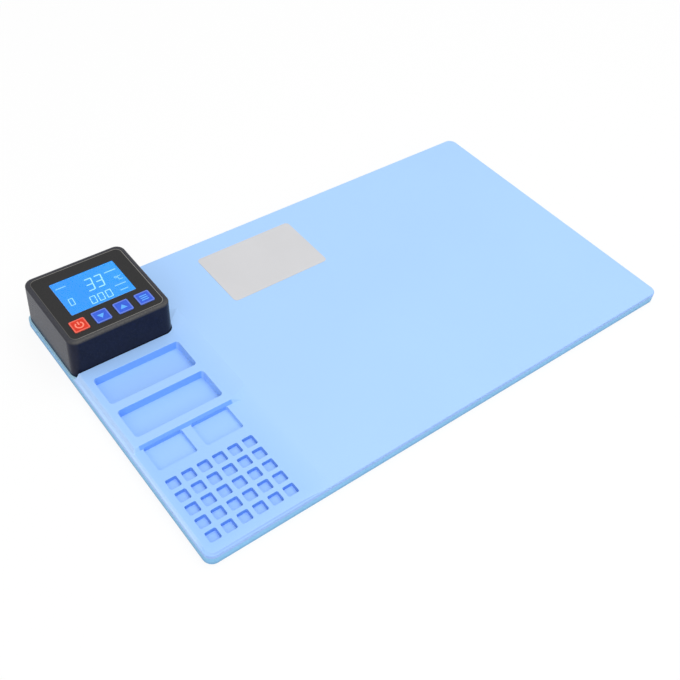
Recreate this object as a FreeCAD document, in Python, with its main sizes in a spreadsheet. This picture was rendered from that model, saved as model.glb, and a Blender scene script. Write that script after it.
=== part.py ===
import FreeCAD, Part
import os
import Sketcher

# Heated silicone work mat with moulded parts trays and a corner temperature controller.
# Millimetres. X runs along the long side, Y from front to back, Z up from the bench.
# The origin is on the bench under the centre of the base.

SIZES = [
    # base tray
    ("base_height", 5.6),
    ("base_floor", 1.2),
    ("base_rim", 4.0),
    ("base_corner", 6.0),
    ("base_edge", 0.4),
    ("recess_corner", 3.0),
    ("web_width", 2.7),
    ("seat_gap", 0.3),
    # silicone top
    ("mat_sheet", 2.4),
    ("mat_edge", 0.8),
    ("field_length", 309.5),
    ("slab_margin", 0.85),
    ("slab_flank", 0.85),
    ("slab_corner", 5.0),
    ("slab_crest", 2.5),
    ("ramp_long", 14.0),
    ("tip_long", 5.5),
    ("tip_turn", 10.0),
    ("crest_cut", 1.0),
    ("front_rise", 0.6),
    ("step_rise", 2.6),
    ("step_angle", 32.0),
    ("step_round", 0.9),
    ("keel_depth", 1.6),
    ("notch_gap", 0.3),
    ("rim_round", 0.35),
    # deep trays
    ("tray_left_bar", 8.1),
    ("tray_long", 59.6),
    ("tray_right_bar", 2.8),
    ("tray_wide", 23.5),
    ("tray_front_bar", 7.7),
    ("tray_bar", 6.6),
    ("tray_back_bar", 9.1),
    ("tray_depth", 6.0),
    ("tray_corner", 2.2),
    ("tray_draft", 4.0),
    # shallow dishes
    ("dish_left_bar", 7.6),
    ("dish_right_bar", 4.9),
    ("dish_bar", 5.8),
    ("dish_wide", 19.1),
    ("dish_bite", 0.4),
    ("dish_depth", 2.6),
    ("dish_corner", 1.5),
    # small cells
    ("cell_columns", 6),
    ("cell_rows", 5),
    ("cell_margin", 8.1),
    ("cell_left_bar", 6.7),
    ("cell_right_bar", 4.95),
    ("cell_size", 7.1),
    ("cell_depth", 2.8),
    ("cell_corner", 0.9),
    ("cell_dish_bar", 7.5),
    # blank sheet on the heated field
    ("label_left", 49.9),
    ("label_back", 15.85),
    ("label_long", 78.2),
    ("label_wide", 49.6),
    ("label_thick", 0.2),
    ("label_corner", 3.0),
    # heater stack
    ("stack_gap", 0.5),
    ("insulation_thick", 1.8),
    ("film_thick", 0.5),
    ("bay_length", 26.0),
    ("bay_width", 24.0),
    ("lead_spacing", 3.4),
    ("lead_diameter", 1.4),
    ("tab_offset", 4.0),
    ("tab_length", 5.0),
    ("tab_width", 2.6),
    ("cutout_offset", 12.0),
    ("cutout_length", 10.0),
    ("cutout_width", 4.2),
    ("sensor_length", 7.0),
    ("sensor_width", 4.0),
    ("sensor_lead_shift", 7.5),
    ("sensor_lead_spacing", 1.6),
    ("sensor_lead_diameter", 1.0),
    ("lead_bend", 2.0),
    ("riser_gap", 2.4),
    ("slot_offset", 28.0),
    ("slot_width", 20.0),
    # controller box
    ("housing_side_inset", 1.1),
    ("housing_back_inset", 0.2),
    ("housing_wall", 2.2),
    ("housing_corner", 7.0),
    ("housing_draft", 1.5),
    ("housing_edge", 1.6),
    ("shelf_thick", 1.3),
    ("boss_inset", 5.4),
    ("boss_diameter", 7.0),
    ("boss_height", 10.0),
    ("hang_inset", 5.5),
    ("hang_diameter", 5.6),
    # panel, window and keys
    ("panel_inset", 3.6),
    ("panel_gap", 0.1),
    ("panel_thick", 0.6),
    ("panel_sink", 0.2),
    ("panel_corner", 4.4),
    ("window_side", 13.25),
    ("window_long", 44.4),
    ("window_wide", 31.9),
    ("window_back_bar", 12.9),
    ("window_corner", 0.6),
    ("lcd_margin", 2.0),
    ("lcd_thick", 2.2),
    ("backlight_height", 7.4),
    ("key_count", 4),
    ("key_size", 10.05),
    ("key_front_bar", 8.6),
    ("key_window_bar", 4.85),
    ("key_corner", 0.9),
    ("key_gap", 0.3),
    ("key_proud", 0.4),
    ("key_lip", 0.9),
    ("key_flange", 1.0),
    ("key_rim", 0.8),
    ("key_dip", 0.12),
    ("key_travel", 0.4),
    ("stem_diameter", 3.4),
    ("plunger_diameter", 3.2),
    ("plunger_gap", 0.3),
    ("plunger_rise", 1.0),
    ("plunger_sunk", 0.7),
    ("plunger_spare", 0.2),
    ("switch_size", 6.2),
    ("switch_height", 3.6),
    # boards and what stands on them
    ("board_thick", 1.6),
    ("board_gap", 2.4),
    ("board_side_gap", 0.8),
    ("power_left", 4.0),
    ("power_right", 7.0),
    ("power_end", 10.0),
    ("post_height", 4.6),
    ("post_diameter", 5.5),
    ("post_inset", 4.0),
    ("component_height", 14.0),
    ("supply_x", 3.0),
    ("supply_y", 9.0),
    ("supply_long", 24.0),
    ("supply_wide", 18.0),
    ("relay_x", 31.0),
    ("relay_y", 9.0),
    ("relay_long", 8.0),
    ("relay_wide", 18.0),
    ("relay_height", 11.0),
    ("terminal_long", 9.0),
    ("terminal_wide", 9.0),
    ("terminal_height", 10.0),
    ("terminal_edge", 1.0),
    ("capacitor_x", 9.0),
    ("capacitor_y", 35.5),
    ("capacitor_diameter", 8.0),
    ("capacitor_height", 11.0),
    ("fuse_edge", 7.6),
    ("fuse_y", 36.0),
    ("fuse_diameter", 8.5),
    ("fuse_height", 8.0),
    ("buzzer_edge", 7.6),
    ("buzzer_y", 26.0),
    ("buzzer_diameter", 7.0),
    ("buzzer_height", 4.5),
    ("link_x", 20.0),
    ("link_y", 34.0),
    ("link_long", 18.0),
    ("link_wide", 2.5),
    ("chip_x", 9.0),
    ("chip_y", 40.0),
    ("chip_size", 8.0),
    ("chip_thick", 1.2),
    ("socket_long", 5.0),
    ("socket_wide", 5.0),
    ("socket_height", 2.2),
    ("socket_edge", 6.0),
    # mains inlet
    ("inlet_wide", 22.0),
    ("inlet_height", 11.0),
    ("inlet_depth", 16.0),
    ("inlet_gap", 0.15),
    ("mouth_wide", 16.2),
    ("mouth_height", 8.4),
    ("mouth_depth", 12.0),
    ("pin_diameter", 2.4),
    ("pin_spacing", 8.6),
    ("pin_setback", 2.0),
    ("pin_tail", 2.0),
    # screws
    ("screw_diameter", 3.0),
    ("screw_head", 5.6),
    ("screw_head_height", 2.0),
    ("screw_bite", 8.0),
    ("screw_play", 0.2),
    ("screw_sink", 0.2),
    ("pillar_diameter", 9.0),
    ("small_screw", 2.5),
    ("small_head", 4.6),
    ("small_head_height", 1.7),
    ("small_bite", 4.0),
]

doc = FreeCAD.newDocument("HeatedWorkMat")
sheet = doc.addObject("Spreadsheet::Sheet", "dims")
for row, (alias, number) in enumerate(SIZES, start=1):
    sheet.set("A%d" % row, alias)
    sheet.set("B%d" % row, str(number))
    sheet.setAlias("B%d" % row, alias)
doc.recompute()


def size(alias):
    """The plain number that the sheet holds under an alias."""
    return float(sheet.get(alias))


# Lengths and levels that several pieces share, all built from the sheet.
PITCH = (
    "((dims.tray_left_bar + dims.tray_long + dims.tray_right_bar - dims.cell_left_bar"
    " - dims.cell_right_bar - dims.cell_size) / (dims.cell_columns - 1))"
)
SLAB_LENGTH = "(dims.tray_left_bar + dims.tray_long + dims.tray_right_bar)"
LENGTH = "(%s + dims.field_length)" % SLAB_LENGTH
HOUSING_WIDTH = "(dims.window_long + 2 * dims.window_side)"
HOUSING_DEPTH = (
    "(dims.key_front_bar + dims.key_size + dims.key_window_bar + dims.window_wide"
    " + dims.window_back_bar)"
)
CELLS_DEPTH = "(dims.cell_size + (dims.cell_rows - 1) * %s)" % PITCH
STEP_DEPTH = (
    "(dims.cell_margin + %s + dims.cell_dish_bar + dims.dish_wide - dims.dish_bite)" % CELLS_DEPTH
)
TRAYS_DEPTH = "(dims.tray_front_bar + 2 * dims.tray_wide + dims.tray_bar + dims.tray_back_bar)"
WIDTH = (
    "(%s + %s + dims.notch_gap + %s + dims.housing_back_inset)" % (STEP_DEPTH, TRAYS_DEPTH, HOUSING_DEPTH)
)

BASE_LEFT = "(-%s / 2)" % LENGTH
BASE_RIGHT = "(%s / 2)" % LENGTH
BASE_FRONT = "(-%s / 2)" % WIDTH
BASE_BACK = "(%s / 2)" % WIDTH
BASE_UNDER = "0"
RIM_TOP = "dims.base_height"
RECESS_FLOOR = "dims.base_floor"
RECESS_DEPTH = "(dims.base_height - dims.base_floor)"
FIELD_TOP = "(%s + dims.mat_sheet)" % RIM_TOP
FRONT_TOP = "(%s + dims.front_rise)" % FIELD_TOP
BACK_TOP = "(%s + dims.step_rise)" % FRONT_TOP
STEP_Y = "(%s + %s)" % (BASE_FRONT, STEP_DEPTH)
SLAB_RIGHT = "(%s + %s)" % (BASE_LEFT, SLAB_LENGTH)

HOUSE_LEFT = "(%s + dims.housing_side_inset)" % BASE_LEFT
HOUSE_RIGHT = "(%s + %s)" % (HOUSE_LEFT, HOUSING_WIDTH)
HOUSE_BACK = "(%s - dims.housing_back_inset)" % BASE_BACK
HOUSE_FRONT = "(%s - %s)" % (HOUSE_BACK, HOUSING_DEPTH)
HOUSE_MID = "(%s + %s / 2)" % (HOUSE_LEFT, HOUSING_WIDTH)
NOTCH_RIGHT = "(%s + dims.notch_gap)" % HOUSE_RIGHT
NOTCH_FRONT = "(%s - dims.notch_gap)" % HOUSE_FRONT
FIELD_LEFT = "(max(%s; %s) + dims.web_width)" % (NOTCH_RIGHT, SLAB_RIGHT)

POWER_UNDER = "(%s + dims.post_height)" % RECESS_FLOOR
POWER_TOP = "(%s + dims.board_thick)" % POWER_UNDER
CONTROL_UNDER = "(%s + dims.component_height + dims.board_gap)" % POWER_TOP
CONTROL_TOP = "(%s + dims.board_thick)" % CONTROL_UNDER
PANEL_UNDER = "(%s + dims.backlight_height + dims.lcd_thick)" % CONTROL_TOP
PANEL_TOP = "(%s + dims.panel_thick)" % PANEL_UNDER
HOUSE_TOP = "(%s + dims.panel_sink)" % PANEL_TOP
CEILING = "(%s - dims.shelf_thick)" % PANEL_UNDER
HOUSING_HEIGHT = "(%s - %s)" % (HOUSE_TOP, RIM_TOP)

WINDOW_LEFT = "(%s + dims.window_side)" % HOUSE_LEFT
WINDOW_FRONT = "(%s - dims.window_back_bar - dims.window_wide)" % HOUSE_BACK
KEY_PITCH = "(dims.window_long / (dims.key_count - 1))"
KEY_FRONT = "(%s + dims.key_front_bar)" % HOUSE_FRONT
KEY_Y = "(%s + dims.key_size / 2)" % KEY_FRONT
PLUNGER_TOP = "(%s + dims.switch_height + dims.plunger_rise)" % CONTROL_TOP
SLOT_Y = "(%s + dims.slot_offset)" % HOUSE_FRONT

POWER_X = "(%s + dims.power_left)" % HOUSE_LEFT
POWER_Y = "(%s + dims.power_end)" % HOUSE_FRONT
POWER_LONG = "(%s - dims.power_left - dims.power_right)" % HOUSING_WIDTH
POWER_WIDE = "(%s - 2 * dims.power_end)" % HOUSING_DEPTH
BOSS_SPAN_X = "(%s - 2 * dims.boss_inset)" % HOUSING_WIDTH
BOSS_SPAN_Y = "(%s - 2 * dims.boss_inset)" % HOUSING_DEPTH
BOSS_X = "(%s + dims.boss_inset)" % HOUSE_LEFT
BOSS_Y = "(%s + dims.boss_inset)" % HOUSE_FRONT
HANG_SPAN_X = "(%s - 2 * dims.hang_inset)" % HOUSING_WIDTH
HANG_SPAN_Y = "(%s - 2 * dims.hang_inset)" % HOUSING_DEPTH
HANG_X = "(%s + dims.hang_inset)" % HOUSE_LEFT
HANG_Y = "(%s + dims.hang_inset)" % HOUSE_FRONT
POST_SPAN_X = "(%s - 2 * dims.post_inset)" % POWER_LONG
POST_SPAN_Y = "(%s - 2 * dims.post_inset)" % POWER_WIDE
POST_X = "(%s + dims.post_inset)" % POWER_X
POST_Y = "(%s + dims.post_inset)" % POWER_Y

nodes = []


def new_body(label):
    body = doc.addObject("PartDesign::Body", label)
    body.Label = label
    body.AllowCompound = True
    nodes.append(body)
    return body


def origin_of(body, role):
    for feature in body.Origin.OriginFeatures:
        if feature.Role == role:
            return feature
    raise ValueError("no origin feature " + role)


def sketch_at(body, name, role, east, north, level):
    """A sketch on an origin plane, its own zero moved to east, north and level."""
    sketch = body.newObject("Sketcher::SketchObject", name)
    sketch.AttachmentSupport = [(origin_of(body, role), "")]
    sketch.MapMode = "FlatFace"
    sketch.setExpression("AttachmentOffset.Base.x", east)
    sketch.setExpression("AttachmentOffset.Base.y", north)
    sketch.setExpression("AttachmentOffset.Base.z", level)
    return sketch


def name_last(sketch, name, text):
    """Give the newest constraint of a sketch a name and tie it to the sheet."""
    sketch.renameConstraint(sketch.ConstraintCount - 1, name)
    sketch.setExpression("Constraints." + name, text)


def rectangle(sketch, length, width):
    """A sharp rectangle from the sketch's zero."""
    corners = [(0, 0), (30, 0), (30, 20), (0, 20)]
    for index in range(4):
        first = corners[index]
        second = corners[(index + 1) % 4]
        line = Part.LineSegment(FreeCAD.Vector(*first, 0), FreeCAD.Vector(*second, 0))
        sketch.addGeometry(line, False)
    for index in range(4):
        sketch.addConstraint(Sketcher.Constraint("Coincident", index, 2, (index + 1) % 4, 1))
    for index in (0, 2):
        sketch.addConstraint(Sketcher.Constraint("Horizontal", index))
    for index in (1, 3):
        sketch.addConstraint(Sketcher.Constraint("Vertical", index))
    sketch.addConstraint(Sketcher.Constraint("Coincident", 0, 1, -1, 1))
    sketch.addConstraint(Sketcher.Constraint("DistanceX", 0, 1, 0, 2, 30.0))
    name_last(sketch, "length", length)
    sketch.addConstraint(Sketcher.Constraint("DistanceY", 1, 1, 1, 2, 20.0))
    name_last(sketch, "width", width)


def clipped(sketch, length, width, clip_x, clip_y):
    """A rectangle from the sketch's zero with its near right corner cut off."""
    corners = [(0, 0), (22, 0), (30, 6), (30, 20), (0, 20)]
    for index in range(5):
        first = corners[index]
        second = corners[(index + 1) % 5]
        line = Part.LineSegment(FreeCAD.Vector(*first, 0), FreeCAD.Vector(*second, 0))
        sketch.addGeometry(line, False)
    for index in range(5):
        sketch.addConstraint(Sketcher.Constraint("Coincident", index, 2, (index + 1) % 5, 1))
    for index in (0, 3):
        sketch.addConstraint(Sketcher.Constraint("Horizontal", index))
    for index in (2, 4):
        sketch.addConstraint(Sketcher.Constraint("Vertical", index))
    sketch.addConstraint(Sketcher.Constraint("Coincident", 0, 1, -1, 1))
    sketch.addConstraint(Sketcher.Constraint("DistanceX", 0, 1, 2, 1, 30.0))
    name_last(sketch, "length", length)
    sketch.addConstraint(Sketcher.Constraint("DistanceY", 4, 2, 4, 1, 20.0))
    name_last(sketch, "width", width)
    sketch.addConstraint(Sketcher.Constraint("DistanceX", 1, 1, 1, 2, 8.0))
    name_last(sketch, "clip_x", clip_x)
    sketch.addConstraint(Sketcher.Constraint("DistanceY", 1, 1, 1, 2, 6.0))
    name_last(sketch, "clip_y", clip_y)


def rounded(sketch, length, width, corner):
    """A rectangle from the sketch's zero with its four corners rounded alike."""
    long_side = 30.0
    wide_side = 20.0
    bend = 2.0
    runs = [
        ((bend, 0), (long_side - bend, 0)),
        ((long_side, bend), (long_side, wide_side - bend)),
        ((long_side - bend, wide_side), (bend, wide_side)),
        ((0, wide_side - bend), (0, bend)),
    ]
    centres = [
        (long_side - bend, bend, -90),
        (long_side - bend, wide_side - bend, 0),
        (bend, wide_side - bend, 90),
        (bend, bend, 180),
    ]
    for first, second in runs:
        line = Part.LineSegment(FreeCAD.Vector(*first, 0), FreeCAD.Vector(*second, 0))
        sketch.addGeometry(line, False)
    for across, along, turn in centres:
        circle = Part.Circle(FreeCAD.Vector(across, along, 0), FreeCAD.Vector(0, 0, 1), bend)
        start = turn * 3.141592653589793 / 180
        sketch.addGeometry(Part.ArcOfCircle(circle, start, start + 3.141592653589793 / 2), False)
    for index in range(4):
        sketch.addConstraint(Sketcher.Constraint("Tangent", index, 2, index + 4, 1))
        sketch.addConstraint(Sketcher.Constraint("Tangent", index + 4, 2, (index + 1) % 4, 1))
    for index in (0, 2):
        sketch.addConstraint(Sketcher.Constraint("Horizontal", index))
    for index in (1, 3):
        sketch.addConstraint(Sketcher.Constraint("Vertical", index))
    for index in (5, 6, 7):
        sketch.addConstraint(Sketcher.Constraint("Equal", 4, index))
    sketch.addConstraint(Sketcher.Constraint("PointOnObject", 0, 1, -1))
    sketch.addConstraint(Sketcher.Constraint("PointOnObject", 3, 1, -2))
    sketch.addConstraint(Sketcher.Constraint("Radius", 4, bend))
    name_last(sketch, "corner", corner)
    sketch.addConstraint(Sketcher.Constraint("DistanceX", 3, 2, 1, 1, long_side))
    name_last(sketch, "length", length)
    sketch.addConstraint(Sketcher.Constraint("DistanceY", 0, 1, 2, 2, wide_side))
    name_last(sketch, "width", width)


def circle(sketch, diameter):
    """A circle round the sketch's zero."""
    sketch.addGeometry(Part.Circle(FreeCAD.Vector(0, 0, 0), FreeCAD.Vector(0, 0, 1), 2.0), False)
    sketch.addConstraint(Sketcher.Constraint("Coincident", 0, 3, -1, 1))
    sketch.addConstraint(Sketcher.Constraint("Diameter", 0, 4.0))
    name_last(sketch, "diameter", diameter)


def pad(body, name, sketch, length, reverse=False, taper=None):
    feature = body.newObject("PartDesign::Pad", name)
    feature.Profile = sketch
    feature.Reversed = reverse
    feature.setExpression("Length", length)
    if taper:
        feature.setExpression("TaperAngle", taper)
    body.Tip = feature
    doc.recompute()
    return feature


def pocket(body, name, sketch, length, reverse=False, taper=None):
    """A cut that has to take material away; it stops the build if it takes none."""
    before = body.Shape.Volume
    feature = body.newObject("PartDesign::Pocket", name)
    feature.Profile = sketch
    feature.Reversed = reverse
    feature.setExpression("Length", length)
    if taper:
        feature.setExpression("TaperAngle", taper)
    body.Tip = feature
    doc.recompute()
    if body.Shape.Volume > before - 1e-6:
        raise ValueError(name + " takes no material away")
    return feature


def ramp(body, name, outlines):
    """Straight sides from each outline up to the next."""
    feature = body.newObject("PartDesign::AdditiveLoft", name)
    feature.Profile = outlines[0]
    feature.Sections = outlines[1:]
    feature.Ruled = True
    body.Tip = feature
    doc.recompute()
    return feature


def repeat(body, name, features, first, second=None):
    """Copies along X and, if asked, along Y: each direction is (axis role, count, extent)."""
    feature = body.newObject("PartDesign::LinearPattern", name)
    feature.Originals = features
    role, count, extent = first
    feature.Direction = (origin_of(body, role), [""])
    feature.setExpression("Occurrences", count)
    feature.setExpression("Length", extent)
    if second:
        role, count, extent = second
        feature.Direction2 = (origin_of(body, role), [""])
        feature.setExpression("Occurrences2", count)
        feature.setExpression("Length2", extent)
    body.Tip = feature
    doc.recompute()
    return feature


def round_edges(body, name, wanted, radius):
    """Round every edge of the body that the test picks."""
    base = body.Tip
    names = []
    for index, edge in enumerate(base.Shape.Edges, start=1):
        if wanted(edge):
            names.append("Edge%d" % index)
    if not names:
        raise ValueError(name + " found no edge")
    feature = body.newObject("PartDesign::Fillet", name)
    feature.Base = (base, names)
    feature.setExpression("Radius", radius)
    body.Tip = feature
    doc.recompute()
    return feature


def value(text):
    """The number that a sheet expression has now."""
    return float(sheet.evalExpression(text))


def at_level(edge, level):
    box = edge.BoundBox
    return abs(box.ZMin - level) < 1e-4 and abs(box.ZMax - level) < 1e-4


def block(label, east, north, level, length, width, height, node=True):
    """A plain block from its lower left front corner."""
    piece = doc.addObject("Part::Box", label)
    piece.Label = label
    piece.setExpression("Length", length)
    piece.setExpression("Width", width)
    piece.setExpression("Height", height)
    piece.setExpression("Placement.Base.x", east)
    piece.setExpression("Placement.Base.y", north)
    piece.setExpression("Placement.Base.z", level)
    if node:
        nodes.append(piece)
    return piece


def drum(label, east, north, level, diameter, height):
    """A plain upright cylinder from the centre of its lower face."""
    piece = doc.addObject("Part::Cylinder", label)
    piece.Label = label
    piece.setExpression("Radius", "(%s) / 2" % diameter)
    piece.setExpression("Height", height)
    piece.setExpression("Placement.Base.x", east)
    piece.setExpression("Placement.Base.y", north)
    piece.setExpression("Placement.Base.z", level)
    nodes.append(piece)
    return piece


def grid(span_x, span_y):
    """Two by two copies over the given spans."""
    return ("X_Axis", "2", span_x), ("Y_Axis", "2", span_y)


# Base tray: outer tray, heater recess, seat for the silicone keel, well under the controller.
base = new_body("base_shell")
outline = sketch_at(base, "base_outline", "XY_Plane", BASE_LEFT, BASE_FRONT, BASE_UNDER)
rounded(outline, LENGTH, WIDTH, "dims.base_corner")
pad(base, "base_slab", outline, "dims.base_height")
under = value(BASE_UNDER)
round_edges(base, "base_under_edge", lambda edge: at_level(edge, under), "dims.base_edge")
heat = sketch_at(base, "heat_outline", "XY_Plane", FIELD_LEFT, BASE_FRONT + " + dims.base_rim", RIM_TOP)
rounded(
    heat,
    "%s - dims.base_rim - %s" % (BASE_RIGHT, FIELD_LEFT),
    "%s - 2 * dims.base_rim" % WIDTH,
    "dims.recess_corner",
)
pocket(base, "heat_recess", heat, RECESS_DEPTH)
keel_seat = sketch_at(
    base, "keel_seat_outline", "XY_Plane", BASE_LEFT + " + dims.base_rim",
    BASE_FRONT + " + dims.base_rim", RIM_TOP,
)
rounded(
    keel_seat,
    "%s - dims.base_rim" % SLAB_LENGTH,
    "%s - dims.base_rim - %s - dims.base_rim" % (NOTCH_FRONT, BASE_FRONT),
    "dims.recess_corner",
)
pocket(base, "keel_seat", keel_seat, "dims.keel_depth")
well = sketch_at(
    base, "well_outline", "XY_Plane", HOUSE_LEFT + " + dims.housing_wall",
    HOUSE_FRONT + " + dims.housing_wall", RIM_TOP,
)
rounded(
    well,
    "%s - 2 * dims.housing_wall" % HOUSING_WIDTH,
    "%s - 2 * dims.housing_wall" % HOUSING_DEPTH,
    "dims.housing_corner - dims.housing_wall",
)
pocket(base, "controller_well", well, RECESS_DEPTH)
slot = sketch_at(
    base, "lead_slot_outline", "XY_Plane", HOUSE_RIGHT + " - dims.housing_wall - dims.web_width",
    SLOT_Y + " - dims.slot_width / 2", RIM_TOP,
)
rectangle(
    slot,
    "%s - %s + dims.housing_wall + 2 * dims.web_width" % (FIELD_LEFT, HOUSE_RIGHT),
    "dims.slot_width",
)
pocket(base, "lead_slot", slot, RECESS_DEPTH)
pillar = sketch_at(base, "pillar_outline", "XY_Plane", BOSS_X, BOSS_Y, RECESS_FLOOR)
circle(pillar, "dims.pillar_diameter")
pillar_pad = pad(base, "pillar", pillar, RECESS_DEPTH)
repeat(base, "pillars", [pillar_pad], *grid(BOSS_SPAN_X, BOSS_SPAN_Y))
sink = sketch_at(base, "screw_sink_outline", "XY_Plane", BOSS_X, BOSS_Y, BASE_UNDER)
circle(sink, "dims.screw_head + 2 * dims.screw_play")
sink_cut = pocket(base, "screw_sink", sink, "dims.screw_head_height + dims.screw_sink", reverse=True)
repeat(base, "screw_sinks", [sink_cut], *grid(BOSS_SPAN_X, BOSS_SPAN_Y))
hole = sketch_at(base, "screw_hole_outline", "XY_Plane", BOSS_X, BOSS_Y, BASE_UNDER)
circle(hole, "dims.screw_diameter + dims.screw_play")
hole_cut = pocket(base, "screw_hole", hole, "dims.base_height", reverse=True)
repeat(base, "screw_holes", [hole_cut], *grid(BOSS_SPAN_X, BOSS_SPAN_Y))
post = sketch_at(base, "post_outline", "XY_Plane", POST_X, POST_Y, RECESS_FLOOR)
circle(post, "dims.post_diameter")
post_pad = pad(base, "post", post, "dims.post_height")
repeat(base, "posts", [post_pad], *grid(POST_SPAN_X, POST_SPAN_Y))
bore = sketch_at(base, "post_bore_outline", "XY_Plane", POST_X, POST_Y, POWER_UNDER)
circle(bore, "dims.small_screw + dims.screw_play")
bore_cut = pocket(base, "post_bore", bore, "dims.small_bite")
repeat(base, "post_bores", [bore_cut], *grid(POST_SPAN_X, POST_SPAN_Y))

# Silicone top: flat sheet, front level and rear level with long ramps to the heated field and a sloping step
# between them, keel, notch for the controller, trays, dishes and cells.
mat = new_body("work_mat")
flat = sketch_at(mat, "sheet_outline", "XY_Plane", BASE_LEFT, BASE_FRONT, RIM_TOP)
rounded(flat, LENGTH, WIDTH, "dims.base_corner")
pad(mat, "sheet_pad", flat, "dims.mat_sheet")
field_level = value(FIELD_TOP)
round_edges(mat, "sheet_edge", lambda edge: at_level(edge, field_level), "dims.mat_edge")
slab_foot = sketch_at(
    mat, "slab_foot_outline", "XY_Plane", BASE_LEFT + " + dims.slab_margin",
    BASE_FRONT + " + dims.slab_margin", FIELD_TOP,
)
rounded(
    slab_foot,
    "%s - dims.slab_crest + dims.ramp_long - dims.slab_margin" % SLAB_LENGTH,
    "%s + dims.ramp_long - %s - dims.slab_margin" % (NOTCH_FRONT, BASE_FRONT),
    "dims.slab_corner",
)
SLAB_INSET = "(dims.slab_margin + dims.slab_flank)"
slab_top = sketch_at(
    mat, "slab_top_outline", "XY_Plane", "%s + %s" % (BASE_LEFT, SLAB_INSET),
    "%s + %s" % (BASE_FRONT, SLAB_INSET), FRONT_TOP,
)
rounded(
    slab_top,
    "%s - dims.slab_crest - %s" % (SLAB_LENGTH, SLAB_INSET),
    "%s - %s - %s" % (NOTCH_FRONT, BASE_FRONT, SLAB_INSET),
    "dims.slab_corner",
)
ramp(mat, "slab_loft", [slab_foot, slab_top])
STEP_SLOPE = "tan(dims.step_angle * 1 deg)"
REAR_RISE = "(dims.front_rise + dims.step_rise)"
REAR_LEFT = "(%s + %s - dims.front_rise * %s)" % (BASE_LEFT, SLAB_INSET, STEP_SLOPE)
REAR_FRONT = "(%s - dims.front_rise * %s)" % (STEP_Y, STEP_SLOPE)


def rear_outline(name, rise, reach, clip_x, clip_y):
    """Outline of the rear level at one height, with its right and back sides that far out."""
    run = "(%s * %s)" % (rise, STEP_SLOPE)
    outline = sketch_at(
        mat, name, "XY_Plane", "%s + %s" % (REAR_LEFT, run), "%s + %s" % (REAR_FRONT, run),
        "%s + %s" % (FIELD_TOP, rise),
    )
    clipped(
        outline,
        "%s + %s - %s - %s" % (SLAB_RIGHT, reach, REAR_LEFT, run),
        "%s + dims.tip_long + %s - %s - %s" % (NOTCH_FRONT, reach, REAR_FRONT, run),
        clip_x,
        clip_y,
    )
    return outline


TIP_CLIP = "dims.ramp_long - dims.tip_long"
rear_outlines = [
    rear_outline("rear_foot_outline", "0", "dims.ramp_long", TIP_CLIP, "dims.tip_turn"),
    rear_outline("rear_top_outline", REAR_RISE, "0", "dims.crest_cut", "dims.crest_cut"),
]
ramp(mat, "rear_loft", rear_outlines)
front_level = value(FRONT_TOP)
back_level = value(BACK_TOP)
crest_left = value("%s + %s * %s" % (REAR_LEFT, REAR_RISE, STEP_SLOPE))
crest_front = value("%s + %s * %s" % (REAR_FRONT, REAR_RISE, STEP_SLOPE))


def step_crest(edge):
    """Top edges of the rear level along the step and along the left flank."""
    box = edge.BoundBox
    return at_level(edge, back_level) and (box.YMax < crest_front + 1e-3 or box.XMax < crest_left + 1e-3)


round_edges(mat, "step_crest", step_crest, "dims.step_round")
keel = sketch_at(
    mat, "keel_outline", "XY_Plane", BASE_LEFT + " + dims.base_rim + dims.seat_gap",
    BASE_FRONT + " + dims.base_rim + dims.seat_gap", RIM_TOP,
)
rounded(
    keel,
    "%s - dims.base_rim - 2 * dims.seat_gap" % SLAB_LENGTH,
    "%s - 2 * dims.base_rim - 2 * dims.seat_gap - %s" % (NOTCH_FRONT, BASE_FRONT),
    "dims.recess_corner",
)
pad(mat, "keel_pad", keel, "dims.keel_depth", reverse=True)
NOTCH_CORNER = "(dims.housing_corner + dims.notch_gap)"
notch = sketch_at(
    mat, "notch_outline", "XY_Plane", "%s - %s" % (BASE_LEFT, NOTCH_CORNER), NOTCH_FRONT, BACK_TOP
)
rounded(
    notch,
    "%s + %s - %s" % (NOTCH_RIGHT, NOTCH_CORNER, BASE_LEFT),
    "%s + %s - %s" % (BASE_BACK, NOTCH_CORNER, NOTCH_FRONT),
    NOTCH_CORNER,
)
pocket(mat, "notch", notch, "%s - %s" % (BACK_TOP, RIM_TOP))
tray = sketch_at(
    mat, "tray_outline", "XY_Plane", BASE_LEFT + " + dims.tray_left_bar", STEP_Y + " + dims.tray_front_bar",
    BACK_TOP,
)
rounded(tray, "dims.tray_long", "dims.tray_wide", "dims.tray_corner")
tray_cut = pocket(mat, "tray", tray, "dims.tray_depth", taper="-dims.tray_draft")
repeat(mat, "trays", [tray_cut], ("Y_Axis", "2", "dims.tray_wide + dims.tray_bar"))
DISH_LONG = "((%s - dims.dish_left_bar - dims.dish_right_bar - dims.dish_bar) / 2)" % SLAB_LENGTH
dish = sketch_at(
    mat, "dish_outline", "XY_Plane", BASE_LEFT + " + dims.dish_left_bar",
    STEP_Y + " + dims.dish_bite - dims.dish_wide", BACK_TOP,
)
rounded(dish, DISH_LONG, "dims.dish_wide", "dims.dish_corner")
dish_cut = pocket(mat, "dish", dish, "dims.step_rise + dims.dish_depth", taper="-dims.tray_draft")
repeat(mat, "dishes", [dish_cut], ("X_Axis", "2", "%s + dims.dish_bar" % DISH_LONG))
cell = sketch_at(
    mat, "cell_outline", "XY_Plane", BASE_LEFT + " + dims.cell_left_bar", BASE_FRONT + " + dims.cell_margin",
    FRONT_TOP,
)
rounded(cell, "dims.cell_size", "dims.cell_size", "dims.cell_corner")
cell_cut = pocket(mat, "cell", cell, "dims.cell_depth", taper="-dims.tray_draft")
repeat(
    mat, "cells", [cell_cut],
    ("X_Axis", "dims.cell_columns", "(dims.cell_columns - 1) * %s" % PITCH),
    ("Y_Axis", "dims.cell_rows", "(dims.cell_rows - 1) * %s" % PITCH),
)
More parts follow.
